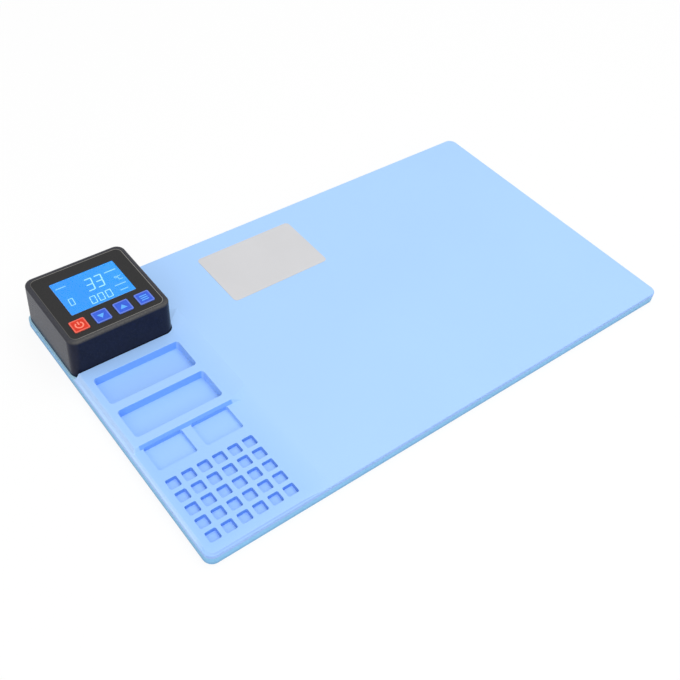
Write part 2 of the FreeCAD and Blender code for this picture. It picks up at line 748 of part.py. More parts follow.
rear_line = value(BASE_LEFT) + size("tray_left_bar")
tray_line = value(STEP_Y) + size("tray_front_bar")
cell_line = value(BASE_FRONT) + size("cell_margin")
cell_end = cell_line + value(CELLS_DEPTH)


def soft_rim(edge):
    """Top edges of the trays and of the cells."""
    box = edge.BoundBox
    if at_level(edge, back_level):
        return box.YMin > tray_line - 1e-3 and box.XMin > rear_line - 1e-3
    if at_level(edge, front_level):
        return box.YMin > cell_line - 1e-3 and box.YMax < cell_end + 1e-3
    return False


round_edges(mat, "soft_rims", soft_rim, "dims.rim_round")

# Blank sheet on the heated field.
label_body = new_body("blank_label")
label_outline = sketch_at(
    label_body, "label_outline", "XY_Plane", SLAB_RIGHT + " + dims.label_left",
    BASE_BACK + " - dims.label_back - dims.label_wide", FIELD_TOP,
)
rounded(label_outline, "dims.label_long", "dims.label_wide", "dims.label_corner")
pad(label_body, "label_pad", label_outline, "dims.label_thick")

# Heater stack under the field: felt, heater film, aluminium plate.
STACK_X = "(%s + dims.stack_gap)" % FIELD_LEFT
STACK_Y = "(%s + dims.base_rim + dims.stack_gap)" % BASE_FRONT
STACK_LONG = "(%s - dims.base_rim - %s - 2 * dims.stack_gap)" % (BASE_RIGHT, FIELD_LEFT)
STACK_WIDE = "(%s - 2 * dims.base_rim - 2 * dims.stack_gap)" % WIDTH
FILM_UNDER = "(%s + dims.insulation_thick)" % RECESS_FLOOR
PLATE_UNDER = "(%s + dims.film_thick)" % FILM_UNDER
felt = new_body("insulation_pad")
felt_outline = sketch_at(felt, "felt_outline", "XY_Plane", STACK_X, STACK_Y, RECESS_FLOOR)
rounded(felt_outline, STACK_LONG, STACK_WIDE, "dims.recess_corner")
pad(felt, "felt_pad", felt_outline, "dims.insulation_thick")
bay = sketch_at(
    felt, "bay_outline", "XY_Plane", STACK_X + " - dims.stack_gap", SLOT_Y + " - dims.bay_width / 2",
    FILM_UNDER,
)
rectangle(bay, "dims.bay_length", "dims.bay_width")
pocket(felt, "lead_bay", bay, "dims.insulation_thick")
film = new_body("heating_element")
film_outline = sketch_at(film, "film_outline", "XY_Plane", STACK_X, STACK_Y, FILM_UNDER)
rounded(film_outline, STACK_LONG, STACK_WIDE, "dims.recess_corner")
pad(film, "film_pad", film_outline, "dims.film_thick")
plate = new_body("spreader_plate")
plate_outline = sketch_at(plate, "plate_outline", "XY_Plane", STACK_X, STACK_Y, PLATE_UNDER)
rounded(plate_outline, STACK_LONG, STACK_WIDE, "dims.recess_corner")
pad(plate, "plate_pad", plate_outline, "%s - %s" % (RIM_TOP, PLATE_UNDER))

# Crimped film ends, thermal cutout and sensor, all against the underside of the film.
LEAD_Y = "(%s - dims.lead_spacing)" % SLOT_Y
SENSE_Y = "(%s + dims.sensor_lead_shift)" % SLOT_Y
TAB_X = "(%s + dims.tab_offset)" % FIELD_LEFT
tabs = new_body("heater_terminals")
tab = sketch_at(tabs, "tab_outline", "XY_Plane", TAB_X, LEAD_Y + " - dims.tab_width / 2", RECESS_FLOOR)
rectangle(tab, "dims.tab_length", "dims.tab_width")
tab_pad = pad(tabs, "tab", tab, "dims.insulation_thick")
repeat(tabs, "tabs", [tab_pad], ("Y_Axis", "2", "dims.lead_spacing"))
CUTOUT_X = "(%s + dims.cutout_offset)" % FIELD_LEFT
block(
    "thermal_cutout", CUTOUT_X, LEAD_Y + " + dims.lead_spacing / 2 - dims.cutout_width / 2", RECESS_FLOOR,
    "dims.cutout_length", "dims.cutout_width", "dims.insulation_thick",
)
block(
    "temperature_sensor", CUTOUT_X, SENSE_Y + " - dims.sensor_width / 2", RECESS_FLOOR,
    "dims.sensor_length", "dims.sensor_width", "dims.insulation_thick",
)

# Controller box: drawn shell with panel recess, display opening, key holes, bosses and inlet opening.
house = new_body("controller_housing")
shell = sketch_at(house, "shell_outline", "XY_Plane", HOUSE_LEFT, HOUSE_FRONT, RIM_TOP)
rounded(shell, HOUSING_WIDTH, HOUSING_DEPTH, "dims.housing_corner")
pad(house, "shell_pad", shell, HOUSING_HEIGHT, taper="-dims.housing_draft")
house_top = value(HOUSE_TOP)
round_edges(house, "shell_edge", lambda edge: at_level(edge, house_top), "dims.housing_edge")
hollow = sketch_at(
    house, "hollow_outline", "XY_Plane", HOUSE_LEFT + " + dims.housing_wall",
    HOUSE_FRONT + " + dims.housing_wall", RIM_TOP,
)
rounded(
    hollow,
    "%s - 2 * dims.housing_wall" % HOUSING_WIDTH,
    "%s - 2 * dims.housing_wall" % HOUSING_DEPTH,
    "dims.housing_corner - dims.housing_wall",
)
pocket(house, "hollow", hollow, "%s - %s" % (CEILING, RIM_TOP), reverse=True)
recess = sketch_at(
    house, "panel_recess_outline", "XY_Plane", HOUSE_LEFT + " + dims.panel_inset",
    HOUSE_FRONT + " + dims.panel_inset", HOUSE_TOP,
)
rounded(
    recess,
    "%s - 2 * dims.panel_inset" % HOUSING_WIDTH,
    "%s - 2 * dims.panel_inset" % HOUSING_DEPTH,
    "dims.panel_corner",
)
pocket(house, "panel_recess", recess, "dims.panel_sink + dims.panel_thick")
LCD_X = "(%s - dims.lcd_margin)" % WINDOW_LEFT
LCD_Y = "(%s - dims.lcd_margin)" % WINDOW_FRONT
LCD_LONG = "(dims.window_long + 2 * dims.lcd_margin)"
LCD_WIDE = "(dims.window_wide + 2 * dims.lcd_margin)"
port = sketch_at(
    house, "display_port_outline", "XY_Plane", LCD_X + " - dims.key_gap", LCD_Y + " - dims.key_gap",
    PANEL_UNDER,
)
rectangle(port, LCD_LONG + " + 2 * dims.key_gap", LCD_WIDE + " + 2 * dims.key_gap")
pocket(house, "display_port", port, "dims.shelf_thick")
KEY_HOLE = "(dims.key_size + 2 * dims.key_gap)"
KEY_ROW = ("X_Axis", "dims.key_count", "dims.window_long")
key_port = sketch_at(
    house, "key_port_outline", "XY_Plane", WINDOW_LEFT + " - %s / 2" % KEY_HOLE,
    KEY_Y + " - %s / 2" % KEY_HOLE, PANEL_UNDER,
)
rounded(key_port, KEY_HOLE, KEY_HOLE, "dims.key_corner + dims.key_gap")
key_port_cut = pocket(house, "key_port", key_port, "dims.shelf_thick")
repeat(house, "key_ports", [key_port_cut], KEY_ROW)
boss = sketch_at(house, "boss_outline", "XY_Plane", BOSS_X, BOSS_Y, RIM_TOP)
circle(boss, "dims.boss_diameter")
boss_pad = pad(house, "boss", boss, "dims.boss_height")
repeat(house, "bosses", [boss_pad], *grid(BOSS_SPAN_X, BOSS_SPAN_Y))
boss_bore = sketch_at(house, "boss_bore_outline", "XY_Plane", BOSS_X, BOSS_Y, RIM_TOP)
circle(boss_bore, "dims.screw_diameter + dims.screw_play")
boss_bore_cut = pocket(house, "boss_bore", boss_bore, "dims.screw_bite", reverse=True)
repeat(house, "boss_bores", [boss_bore_cut], *grid(BOSS_SPAN_X, BOSS_SPAN_Y))
hang = sketch_at(house, "hang_outline", "XY_Plane", HANG_X, HANG_Y, CONTROL_TOP)
circle(hang, "dims.hang_diameter")
hang_pad = pad(house, "hanger", hang, "%s - %s" % (CEILING, CONTROL_TOP))
repeat(house, "hangers", [hang_pad], *grid(HANG_SPAN_X, HANG_SPAN_Y))
hang_bore = sketch_at(house, "hang_bore_outline", "XY_Plane", HANG_X, HANG_Y, CONTROL_TOP)
circle(hang_bore, "dims.small_screw + dims.screw_play")
hang_bore_cut = pocket(house, "hang_bore", hang_bore, "dims.small_bite", reverse=True)
repeat(house, "hang_bores", [hang_bore_cut], *grid(HANG_SPAN_X, HANG_SPAN_Y))
INLET_X = "(%s - dims.inlet_wide / 2)" % HOUSE_MID
inlet_port = sketch_at(
    house, "inlet_port_outline", "XZ_Plane", INLET_X + " - dims.inlet_gap", POWER_TOP + " - dims.inlet_gap",
    "-%s" % HOUSE_BACK,
)
rectangle(inlet_port, "dims.inlet_wide + 2 * dims.inlet_gap", "dims.inlet_height + 2 * dims.inlet_gap")
pocket(house, "inlet_port", inlet_port, "dims.housing_wall", reverse=True)

# Inset panel with the window opening and the key holes.
panel = new_body("front_panel")
panel_outline = sketch_at(
    panel, "panel_outline", "XY_Plane", HOUSE_LEFT + " + dims.panel_inset + dims.panel_gap",
    HOUSE_FRONT + " + dims.panel_inset + dims.panel_gap", PANEL_UNDER,
)
rounded(
    panel_outline,
    "%s - 2 * dims.panel_inset - 2 * dims.panel_gap" % HOUSING_WIDTH,
    "%s - 2 * dims.panel_inset - 2 * dims.panel_gap" % HOUSING_DEPTH,
    "dims.panel_corner - dims.panel_gap",
)
pad(panel, "panel_pad", panel_outline, "dims.panel_thick")
pane_port = sketch_at(panel, "pane_port_outline", "XY_Plane", WINDOW_LEFT, WINDOW_FRONT, PANEL_TOP)
rounded(pane_port, "dims.window_long", "dims.window_wide", "dims.window_corner")
pocket(panel, "pane_port", pane_port, "dims.panel_thick")
panel_key = sketch_at(
    panel, "panel_key_outline", "XY_Plane", WINDOW_LEFT + " - %s / 2" % KEY_HOLE,
    KEY_Y + " - %s / 2" % KEY_HOLE, PANEL_TOP,
)
rounded(panel_key, KEY_HOLE, KEY_HOLE, "dims.key_corner + dims.key_gap")
panel_key_cut = pocket(panel, "panel_key", panel_key, "dims.panel_thick")
repeat(panel, "panel_keys", [panel_key_cut], KEY_ROW)

pane = new_body("display_window")
pane_outline = sketch_at(
    pane, "pane_outline", "XY_Plane", WINDOW_LEFT + " + dims.panel_gap", WINDOW_FRONT + " + dims.panel_gap",
    PANEL_UNDER,
)
rounded(
    pane_outline,
    "dims.window_long - 2 * dims.panel_gap",
    "dims.window_wide - 2 * dims.panel_gap",
    "dims.window_corner",
)
pad(pane, "pane_pad", pane_outline, "dims.panel_thick")

# Display under the window, standing on its light box on the control board.
block("lcd_panel", LCD_X, LCD_Y, PANEL_UNDER + " - dims.lcd_thick", LCD_LONG, LCD_WIDE, "dims.lcd_thick")
block("lcd_backlight", LCD_X, LCD_Y, CONTROL_TOP, LCD_LONG, LCD_WIDE, "dims.backlight_height")

# Control board, hung from the box on four screws.
control = new_body("control_board")
control_outline = sketch_at(
    control, "control_outline", "XY_Plane", HOUSE_LEFT + " + dims.housing_wall + dims.board_side_gap",
    HOUSE_FRONT + " + dims.housing_wall + dims.board_side_gap", CONTROL_UNDER,
)
rounded(
    control_outline,
    "%s - 2 * dims.housing_wall - 2 * dims.board_side_gap" % HOUSING_WIDTH,
    "%s - 2 * dims.housing_wall - 2 * dims.board_side_gap" % HOUSING_DEPTH,
    "dims.recess_corner",
)
pad(control, "control_pad", control_outline, "dims.board_thick")
control_hole = sketch_at(control, "control_hole_outline", "XY_Plane", HANG_X, HANG_Y, CONTROL_TOP)
circle(control_hole, "dims.small_screw + dims.screw_play")
control_hole_cut = pocket(control, "control_hole", control_hole, "dims.board_thick")
repeat(control, "control_holes", [control_hole_cut], *grid(HANG_SPAN_X, HANG_SPAN_Y))

# Tact switches under the keys, each with a round well for its plunger.
switches = new_body("key_switches")
PLUNGER_FLOOR = "dims.plunger_sunk + dims.key_travel + dims.plunger_spare"
switch = sketch_at(
    switches, "switch_outline", "XY_Plane", WINDOW_LEFT + " - dims.switch_size / 2",
    KEY_Y + " - dims.switch_size / 2", CONTROL_TOP,
)
rectangle(switch, "dims.switch_size", "dims.switch_size")
switch_pad = pad(switches, "switch", switch, "dims.switch_height")
switch_well = sketch_at(
    switches, "switch_well_outline", "XY_Plane", WINDOW_LEFT, KEY_Y, CONTROL_TOP + " + dims.switch_height"
)
circle(switch_well, "dims.plunger_diameter + 2 * dims.plunger_gap")
switch_cut = pocket(switches, "switch_well", switch_well, PLUNGER_FLOOR)
repeat(switches, "switch_row", [switch_pad, switch_cut], KEY_ROW)


def key_set(name, index):
    """One key with its plunger: cap through the panel, flange under the shelf, stem on the plunger."""
    middle = "(%s + %d * %s)" % (WINDOW_LEFT, index, KEY_PITCH)
    key = new_body("key_" + name)
    cap = sketch_at(
        key, "cap_outline_" + name, "XY_Plane", middle + " - dims.key_size / 2", KEY_FRONT,
        CEILING + " - dims.key_flange",
    )
    rounded(cap, "dims.key_size", "dims.key_size", "dims.key_corner")
    pad(
        key, "cap_" + name, cap,
        "%s + dims.key_proud - %s + dims.key_flange" % (PANEL_TOP, CEILING),
    )
    flange = sketch_at(
        key, "flange_outline_" + name, "XY_Plane", middle + " - dims.key_size / 2 - dims.key_lip",
        KEY_FRONT + " - dims.key_lip", CEILING + " - dims.key_flange",
    )
    rounded(
        flange, "dims.key_size + 2 * dims.key_lip", "dims.key_size + 2 * dims.key_lip", "dims.key_corner"
    )
    pad(key, "flange_" + name, flange, "dims.key_flange")
    stem = sketch_at(key, "stem_outline_" + name, "XY_Plane", middle, KEY_Y, PLUNGER_TOP)
    circle(stem, "dims.stem_diameter")
    pad(key, "stem_" + name, stem, "%s - dims.key_flange - %s" % (CEILING, PLUNGER_TOP))
    dip = sketch_at(
        key, "dip_outline_" + name, "XY_Plane", middle + " - dims.key_size / 2 + dims.key_rim",
        KEY_FRONT + " + dims.key_rim", PANEL_TOP + " + dims.key_proud",
    )
    rectangle(dip, "dims.key_size - 2 * dims.key_rim", "dims.key_size - 2 * dims.key_rim")
    pocket(key, "dip_" + name, dip, "dims.key_dip")
    drum(
        "plunger_" + name, middle, KEY_Y, PLUNGER_TOP + " - dims.plunger_rise - dims.plunger_sunk",
        "dims.plunger_diameter", "dims.plunger_rise + dims.plunger_sunk",
    )


key_set("power", 0)
key_set("down", 1)
key_set("up", 2)
key_set("mode", 3)

# Power board on its posts, with its parts.
power = new_body("power_board")
power_outline = sketch_at(power, "power_outline", "XY_Plane", POWER_X, POWER_Y, POWER_UNDER)
rectangle(power_outline, POWER_LONG, POWER_WIDE)
pad(power, "power_pad", power_outline, "dims.board_thick")
power_hole = sketch_at(power, "power_hole_outline", "XY_Plane", POST_X, POST_Y, POWER_TOP)
circle(power_hole, "dims.small_screw + dims.screw_play")
power_hole_cut = pocket(power, "power_hole", power_hole, "dims.board_thick")
repeat(power, "power_holes", [power_hole_cut], *grid(POST_SPAN_X, POST_SPAN_Y))
block(
    "supply_module", POWER_X + " + dims.supply_x", POWER_Y + " + dims.supply_y", POWER_TOP,
    "dims.supply_long", "dims.supply_wide", "dims.component_height",
)
block(
    "relay", POWER_X + " + dims.relay_x", POWER_Y + " + dims.relay_y", POWER_TOP,
    "dims.relay_long", "dims.relay_wide", "dims.relay_height",
)
TERMINAL_X = "(%s + %s - dims.terminal_edge - dims.terminal_long)" % (POWER_X, POWER_LONG)
block(
    "lead_terminal", TERMINAL_X, LEAD_Y + " + dims.lead_spacing / 2 - dims.terminal_wide / 2", POWER_TOP,
    "dims.terminal_long", "dims.terminal_wide", "dims.terminal_height",
)
drum(
    "filter_capacitor", POWER_X + " + dims.capacitor_x", POWER_Y + " + dims.capacitor_y", POWER_TOP,
    "dims.capacitor_diameter", "dims.capacitor_height",
)
drum(
    "line_fuse", POWER_X + " + %s - dims.fuse_edge" % POWER_LONG, POWER_Y + " + dims.fuse_y", POWER_TOP,
    "dims.fuse_diameter", "dims.fuse_height",
)
drum(
    "buzzer", POWER_X + " + %s - dims.buzzer_edge" % POWER_LONG, POWER_Y + " + dims.buzzer_y", POWER_TOP,
    "dims.buzzer_diameter", "dims.buzzer_height",
)
block(
    "board_link", POWER_X + " + dims.link_x", POWER_Y + " + dims.link_y", POWER_TOP,
    "dims.link_long", "dims.link_wide", "dims.component_height + dims.board_gap",
)
block(
    "controller_chip", POWER_X + " + dims.chip_x", POWER_Y + " + dims.chip_y",
    CONTROL_UNDER + " - dims.chip_thick",
    "dims.chip_size", "dims.chip_size", "dims.chip_thick",
)
SOCKET_X = "(%s - dims.housing_wall - dims.socket_edge - dims.socket_long)" % HOUSE_RIGHT
block(
    "sensor_socket", SOCKET_X, SENSE_Y + " - dims.socket_wide / 2", CONTROL_UNDER + " - dims.socket_height",
    "dims.socket_long", "dims.socket_wide", "dims.socket_height",
)

# Mains inlet standing on the power board behind the opening in the back wall, with its two pins.
inlet = new_body("mains_inlet")
inlet_outline = sketch_at(inlet, "inlet_outline", "XZ_Plane", INLET_X, POWER_TOP, "-%s" % HOUSE_BACK)
rectangle(inlet_outline, "dims.inlet_wide", "dims.inlet_height")
pad(inlet, "inlet_pad", inlet_outline, "dims.inlet_depth")
mouth = sketch_at(
    inlet, "mouth_outline", "XZ_Plane", HOUSE_MID + " - dims.mouth_wide / 2",
    POWER_TOP + " + dims.inlet_height / 2 - dims.mouth_height / 2", "-%s" % HOUSE_BACK,
)
rounded(mouth, "dims.mouth_wide", "dims.mouth_height", "dims.mouth_height * 0.45")
pocket(inlet, "mouth", mouth, "dims.mouth_depth", reverse=True)
PIN_X = "(%s - dims.pin_spacing / 2)" % HOUSE_MID
PIN_Z = "(%s + dims.inlet_height / 2)" % POWER_TOP
pin_hole = sketch_at(inlet, "pin_hole_outline", "XZ_Plane", PIN_X, PIN_Z, "-%s" % HOUSE_BACK)
circle(pin_hole, "dims.pin_diameter")
pin_hole_cut = pocket(inlet, "pin_hole", pin_hole, "dims.inlet_depth", reverse=True)
repeat(inlet, "pin_holes", [pin_hole_cut], ("X_Axis", "2", "dims.pin_spacing"))
pins = new_body("inlet_pins")
pin = sketch_at(pins, "pin_outline", "XZ_Plane", PIN_X, PIN_Z, "-%s + dims.pin_setback" % HOUSE_BACK)
circle(pin, "dims.pin_diameter")
pin_pad = pad(pins, "pin", pin, "dims.inlet_depth - dims.pin_setback + dims.pin_tail")
tail = sketch_at(
    pins, "tail_outline", "XY_Plane", PIN_X + " - dims.pin_diameter / 2",
    HOUSE_BACK + " - dims.inlet_depth - dims.pin_tail", POWER_TOP,
)
rectangle(tail, "dims.pin_diameter", "dims.pin_tail * 0.6")
tail_pad = pad(pins, "tail", tail, "dims.inlet_height / 2")
repeat(pins, "pin_pair", [pin_pad, tail_pad], ("X_Axis", "2", "dims.pin_spacing"))


def screw_set(label, east, north, seat, upward, sizes, spans):
    """Four alike screws: a round head under the seat level or over it, and a shank through the seat."""
    shank_size, head_size, head_height, reach = sizes
    body = new_body(label)
    head = sketch_at(body, "head_outline_" + label, "XY_Plane", east, north, seat)
    circle(head, head_size)
    head_pad = pad(body, "head_" + label, head, head_height, reverse=upward)
    shank = sketch_at(body, "shank_outline_" + label, "XY_Plane", east, north, seat)
    circle(shank, shank_size)
    shank_pad = pad(body, "shank_" + label, shank, reach, reverse=not upward)
    repeat(body, "set_" + label, [head_pad, shank_pad], *spans)


screw_set(
    "housing_screws", BOSS_X, BOSS_Y, BASE_UNDER + " + dims.screw_head_height + dims.screw_sink", True,
    (
        "dims.screw_diameter", "dims.screw_head", "dims.screw_head_height",
        "dims.base_height - dims.screw_head_height - dims.screw_sink + dims.screw_bite - dims.screw_play",
    ),
    grid(BOSS_SPAN_X, BOSS_SPAN_Y),
)
screw_set(
    "control_board_screws", HANG_X, HANG_Y, CONTROL_UNDER, True,
    (
        "dims.small_screw", "dims.small_head", "dims.small_head_height",
        "dims.board_thick + dims.small_bite - dims.screw_play",
    ),
    grid(HANG_SPAN_X, HANG_SPAN_Y),
)
screw_set(
    "power_board_screws", POST_X, POST_Y, POWER_TOP, False,
    (
        "dims.small_screw", "dims.small_head", "dims.small_head_height",
        "dims.board_thick + dims.small_bite - dims.screw_play",
    ),
    grid(POST_SPAN_X, POST_SPAN_Y),
)


def lead_tube(start_x, riser_x, end_x, north, low, high, diameter):
    """A round lead: along the base, up the riser and into its socket, with a tangent arc at each bend."""
    bend = size("lead_bend")
    slant = bend * 0.5 ** 0.5
    first = FreeCAD.Vector(start_x, north, low)
    turn_a = FreeCAD.Vector(riser_x + bend, north, low)
    mid_a = FreeCAD.Vector(riser_x + bend - slant, north, low + bend - slant)
    turn_b = FreeCAD.Vector(riser_x, north, low + bend)
    turn_c = FreeCAD.Vector(riser_x, north, high - bend)
    mid_c = FreeCAD.Vector(riser_x - bend + slant, north, high - bend + slant)
    turn_d = FreeCAD.Vector(riser_x - bend, north, high)
    last = FreeCAD.Vector(end_x, north, high)
    edges = [
        Part.LineSegment(first, turn_a).toShape(),
        Part.Arc(turn_a, mid_a, turn_b).toShape(),
        Part.LineSegment(turn_b, turn_c).toShape(),
        Part.Arc(turn_c, mid_c, turn_d).toShape(),
        Part.LineSegment(turn_d, last).toShape(),
    ]
    path = Part.Wire(edges)
    ring = Part.Wire([Part.makeCircle(diameter / 2, first, FreeCAD.Vector(1, 0, 0))])
    tube = path.makePipeShell([ring], True, False)
    if abs(tube.Volume - 3.141592653589793 * diameter ** 2 / 4 * path.Length) > 0.01 * tube.Volume:
        raise ValueError("lead volume does not follow its length")
    return tube


def lead_pair(label, tubes):
    piece = doc.addObject("Part::Feature", label)
    piece.Label = label
    piece.Shape = Part.makeCompound(tubes)
    piece.Placement = FreeCAD.Placement()
    nodes.append(piece)
    return piece


# Leads held between the heated field and the boards.
lead_low = value(RECESS_FLOOR) + size("insulation_thick") / 2
riser = value(HOUSE_RIGHT) - size("housing_wall") - size("riser_gap")
heater_tubes = []
for lead_y in (value(LEAD_Y), value(LEAD_Y) + size("lead_spacing")):
    heater_tubes.append(
        lead_tube(
            value(TAB_X), riser, value(TERMINAL_X) + size("terminal_long"), lead_y, lead_low,
            value(POWER_TOP) + size("terminal_height") / 2, size("lead_diameter"),
        )
    )
lead_pair("heater_leads", heater_tubes)
sense_tubes = []
for lead_y in (-0.5, 0.5):
    sense_tubes.append(
        lead_tube(
            value(CUTOUT_X), riser, value(SOCKET_X) + size("socket_long"),
            value(SENSE_Y) + lead_y * size("sensor_lead_spacing"), lead_low,
            value(CONTROL_UNDER) - size("socket_height") / 2, size("sensor_lead_diameter"),
        )
    )
lead_pair("sensor_leads", sense_tubes)

doc.recompute()
for item in doc.Objects:
    if "Invalid" in item.State or "Error" in item.State:
        raise ValueError("failed object " + item.Label)
for node in nodes:
    if node.Shape.isNull() or not node.Shape.isValid():
        raise ValueError("bad shape " + node.Label)
os.makedirs("parts", exist_ok=True)
for node in nodes:
    node.Shape.exportStep("parts/%s.step" % node.Label)
    print(node.Label, len(node.Shape.Solids), round(node.Shape.Volume, 2))
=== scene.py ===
import math

import bmesh
import bpy
from mathutils import Matrix, Vector


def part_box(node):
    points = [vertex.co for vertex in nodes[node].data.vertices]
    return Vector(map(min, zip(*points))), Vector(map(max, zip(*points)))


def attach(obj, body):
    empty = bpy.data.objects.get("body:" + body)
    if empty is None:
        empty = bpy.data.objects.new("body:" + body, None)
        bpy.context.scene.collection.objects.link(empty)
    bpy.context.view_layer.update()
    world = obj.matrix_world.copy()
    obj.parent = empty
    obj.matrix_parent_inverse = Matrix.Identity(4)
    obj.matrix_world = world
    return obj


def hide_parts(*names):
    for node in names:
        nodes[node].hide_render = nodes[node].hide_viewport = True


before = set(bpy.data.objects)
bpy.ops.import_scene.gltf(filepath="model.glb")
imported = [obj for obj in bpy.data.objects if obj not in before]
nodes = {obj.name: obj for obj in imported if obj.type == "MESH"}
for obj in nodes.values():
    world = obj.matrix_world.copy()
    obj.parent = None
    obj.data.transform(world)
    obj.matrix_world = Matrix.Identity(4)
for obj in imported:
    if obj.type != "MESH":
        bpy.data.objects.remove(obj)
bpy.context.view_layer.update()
ROOT = "mat_assembly"
KEYS = ("power", "down", "up", "mode")
MM = 0.001


class Nodes:
    """Short ways to add nodes to one shader tree."""

    def __init__(self, tree):
        self.tree = tree

    def put(self, value, socket):
        """Link a socket, or set a plain value."""
        if isinstance(value, bpy.types.NodeSocket):
            self.tree.links.new(value, socket)
        else:
            socket.default_value = value

    def noise(self, place, scale, detail=2.0):
        """Soft random values over the surface."""
        node = self.tree.nodes.new("ShaderNodeTexNoise")
        self.put(place, node.inputs["Vector"])
        self.put(scale, node.inputs["Scale"])
        self.put(detail, node.inputs["Detail"])
        return node.outputs[0]

    def spread(self, value, start, end, low=0.0, high=1.0):
        """Turn the range from start to end into the one from low to high, and hold it outside."""
        node = self.tree.nodes.new("ShaderNodeMapRange")
        self.put(value, node.inputs[0])
        for index, number in enumerate((start, end, low, high), start=1):
            self.put(number, node.inputs[index])
        return node.outputs[0]

    def mix(self, amount, first, second):
        """Blend two colours."""
        node = self.tree.nodes.new("ShaderNodeMix")
        node.data_type = "RGBA"
        self.put(amount, node.inputs[0])
        self.put(first, node.inputs[6])
        self.put(second, node.inputs[7])
        return node.outputs[2]

    def math(self, operation, first, second=0.0):
        node = self.tree.nodes.new("ShaderNodeMath")
        node.operation = operation
        self.put(first, node.inputs[0])
        self.put(second, node.inputs[1])
        return node.outputs[0]

    def times(self, first, *others):
        """Multiply any number of masks."""
        for other in others:
            first = self.math("MULTIPLY", first, other)
        return first

    def vector(self, operation, first, second=(0.0, 0.0, 0.0), output=0):
        node = self.tree.nodes.new("ShaderNodeVectorMath")
        node.operation = operation
        self.put(first, node.inputs[0])
        self.put(second, node.inputs[1])
        return node.outputs[output]

    def axes(self, vector):
        """The three parts of a place or direction."""
        node = self.tree.nodes.new("ShaderNodeSeparateXYZ")
        self.put(vector, node.inputs[0])
        return node.outputs[0], node.outputs[1], node.outputs[2]


def effect(name, inputs, outputs):
    """An empty shader group with named sockets, and its nodes, inputs and outputs."""
    group = bpy.data.node_groups.new(name, "ShaderNodeTree")
    for title, kind in inputs:
        group.interface.new_socket(title, in_out="INPUT", socket_type="NodeSocket" + kind)
    for title, kind in outputs:
        group.interface.new_socket(title, in_out="OUTPUT", socket_type="NodeSocket" + kind)
    start = group.nodes.new("NodeGroupInput")
    end = group.nodes.new("NodeGroupOutput")
    return group, Nodes(group), start.outputs, end.inputs


# Uneven colour and gloss with a fine grain, for every moulded, printed or metal surface.
NOISE_RANGE = (0.3, 0.7)
FINE_RANGE = (0.25, 0.75)
LEAST_ROUGH = 0.03
moulded_grain, work, given, result = effect(
    "moulded_grain",
    [("Place", "Vector"), ("Colour", "Color"), ("Mottle Scale", "Float"), ("Mottle", "Float"),
     ("Grain Scale", "Float"), ("Roughness", "Float"), ("Gloss", "Float")],
    [("Colour", "Color"), ("Roughness", "Float"), ("Height", "Float")],
)
uneven = work.spread(work.noise(given["Place"], given["Mottle Scale"], 4.0), *NOISE_RANGE, -1.0, 1.0)
shade = work.math("ADD", work.times(uneven, given["Mottle"]), 1.0)
work.put(work.vector("MULTIPLY", given["Colour"], shade), result["Colour"])
fine = work.noise(given["Place"], given["Grain Scale"])
swing = work.times(work.spread(fine, *FINE_RANGE, -1.0, 1.0), given["Gloss"])
rough = work.math("ADD", swing, given["Roughness"])
work.put(work.math("MAXIMUM", rough, LEAST_ROUGH), result["Roughness"])
work.put(fine, result["Height"])

# Distance in plan to a rounded rectangle, negative inside it, for rims, lines and edge tones.
rounded_outline, work, given, result = effect(
    "rounded_outline",
    [("Place", "Vector"), ("Middle", "Vector"), ("Half", "Vector"), ("Corner", "Float")],
    [("Distance", "Float")],
)
flat = work.vector("MULTIPLY", work.vector("SUBTRACT", given["Place"], given["Middle"]), (1.0, 1.0, 0.0))
reach = work.vector("SUBTRACT", work.vector("ABSOLUTE", flat), given["Half"])
along, across, _ = work.axes(reach)
along = work.math("ADD", along, given["Corner"])
across = work.math("ADD", across, given["Corner"])
outer_along = work.math("MAXIMUM", along, 0.0)
outer_across = work.math("MAXIMUM", across, 0.0)
squares = work.math(
    "ADD", work.times(outer_along, outer_along), work.times(outer_across, outer_across)
)
inner = work.math("MINIMUM", work.math("MAXIMUM", along, across), 0.0)
total = work.math("ADD", work.math("SQRT", squares), inner)
work.put(work.math("SUBTRACT", total, given["Corner"]), result["Distance"])


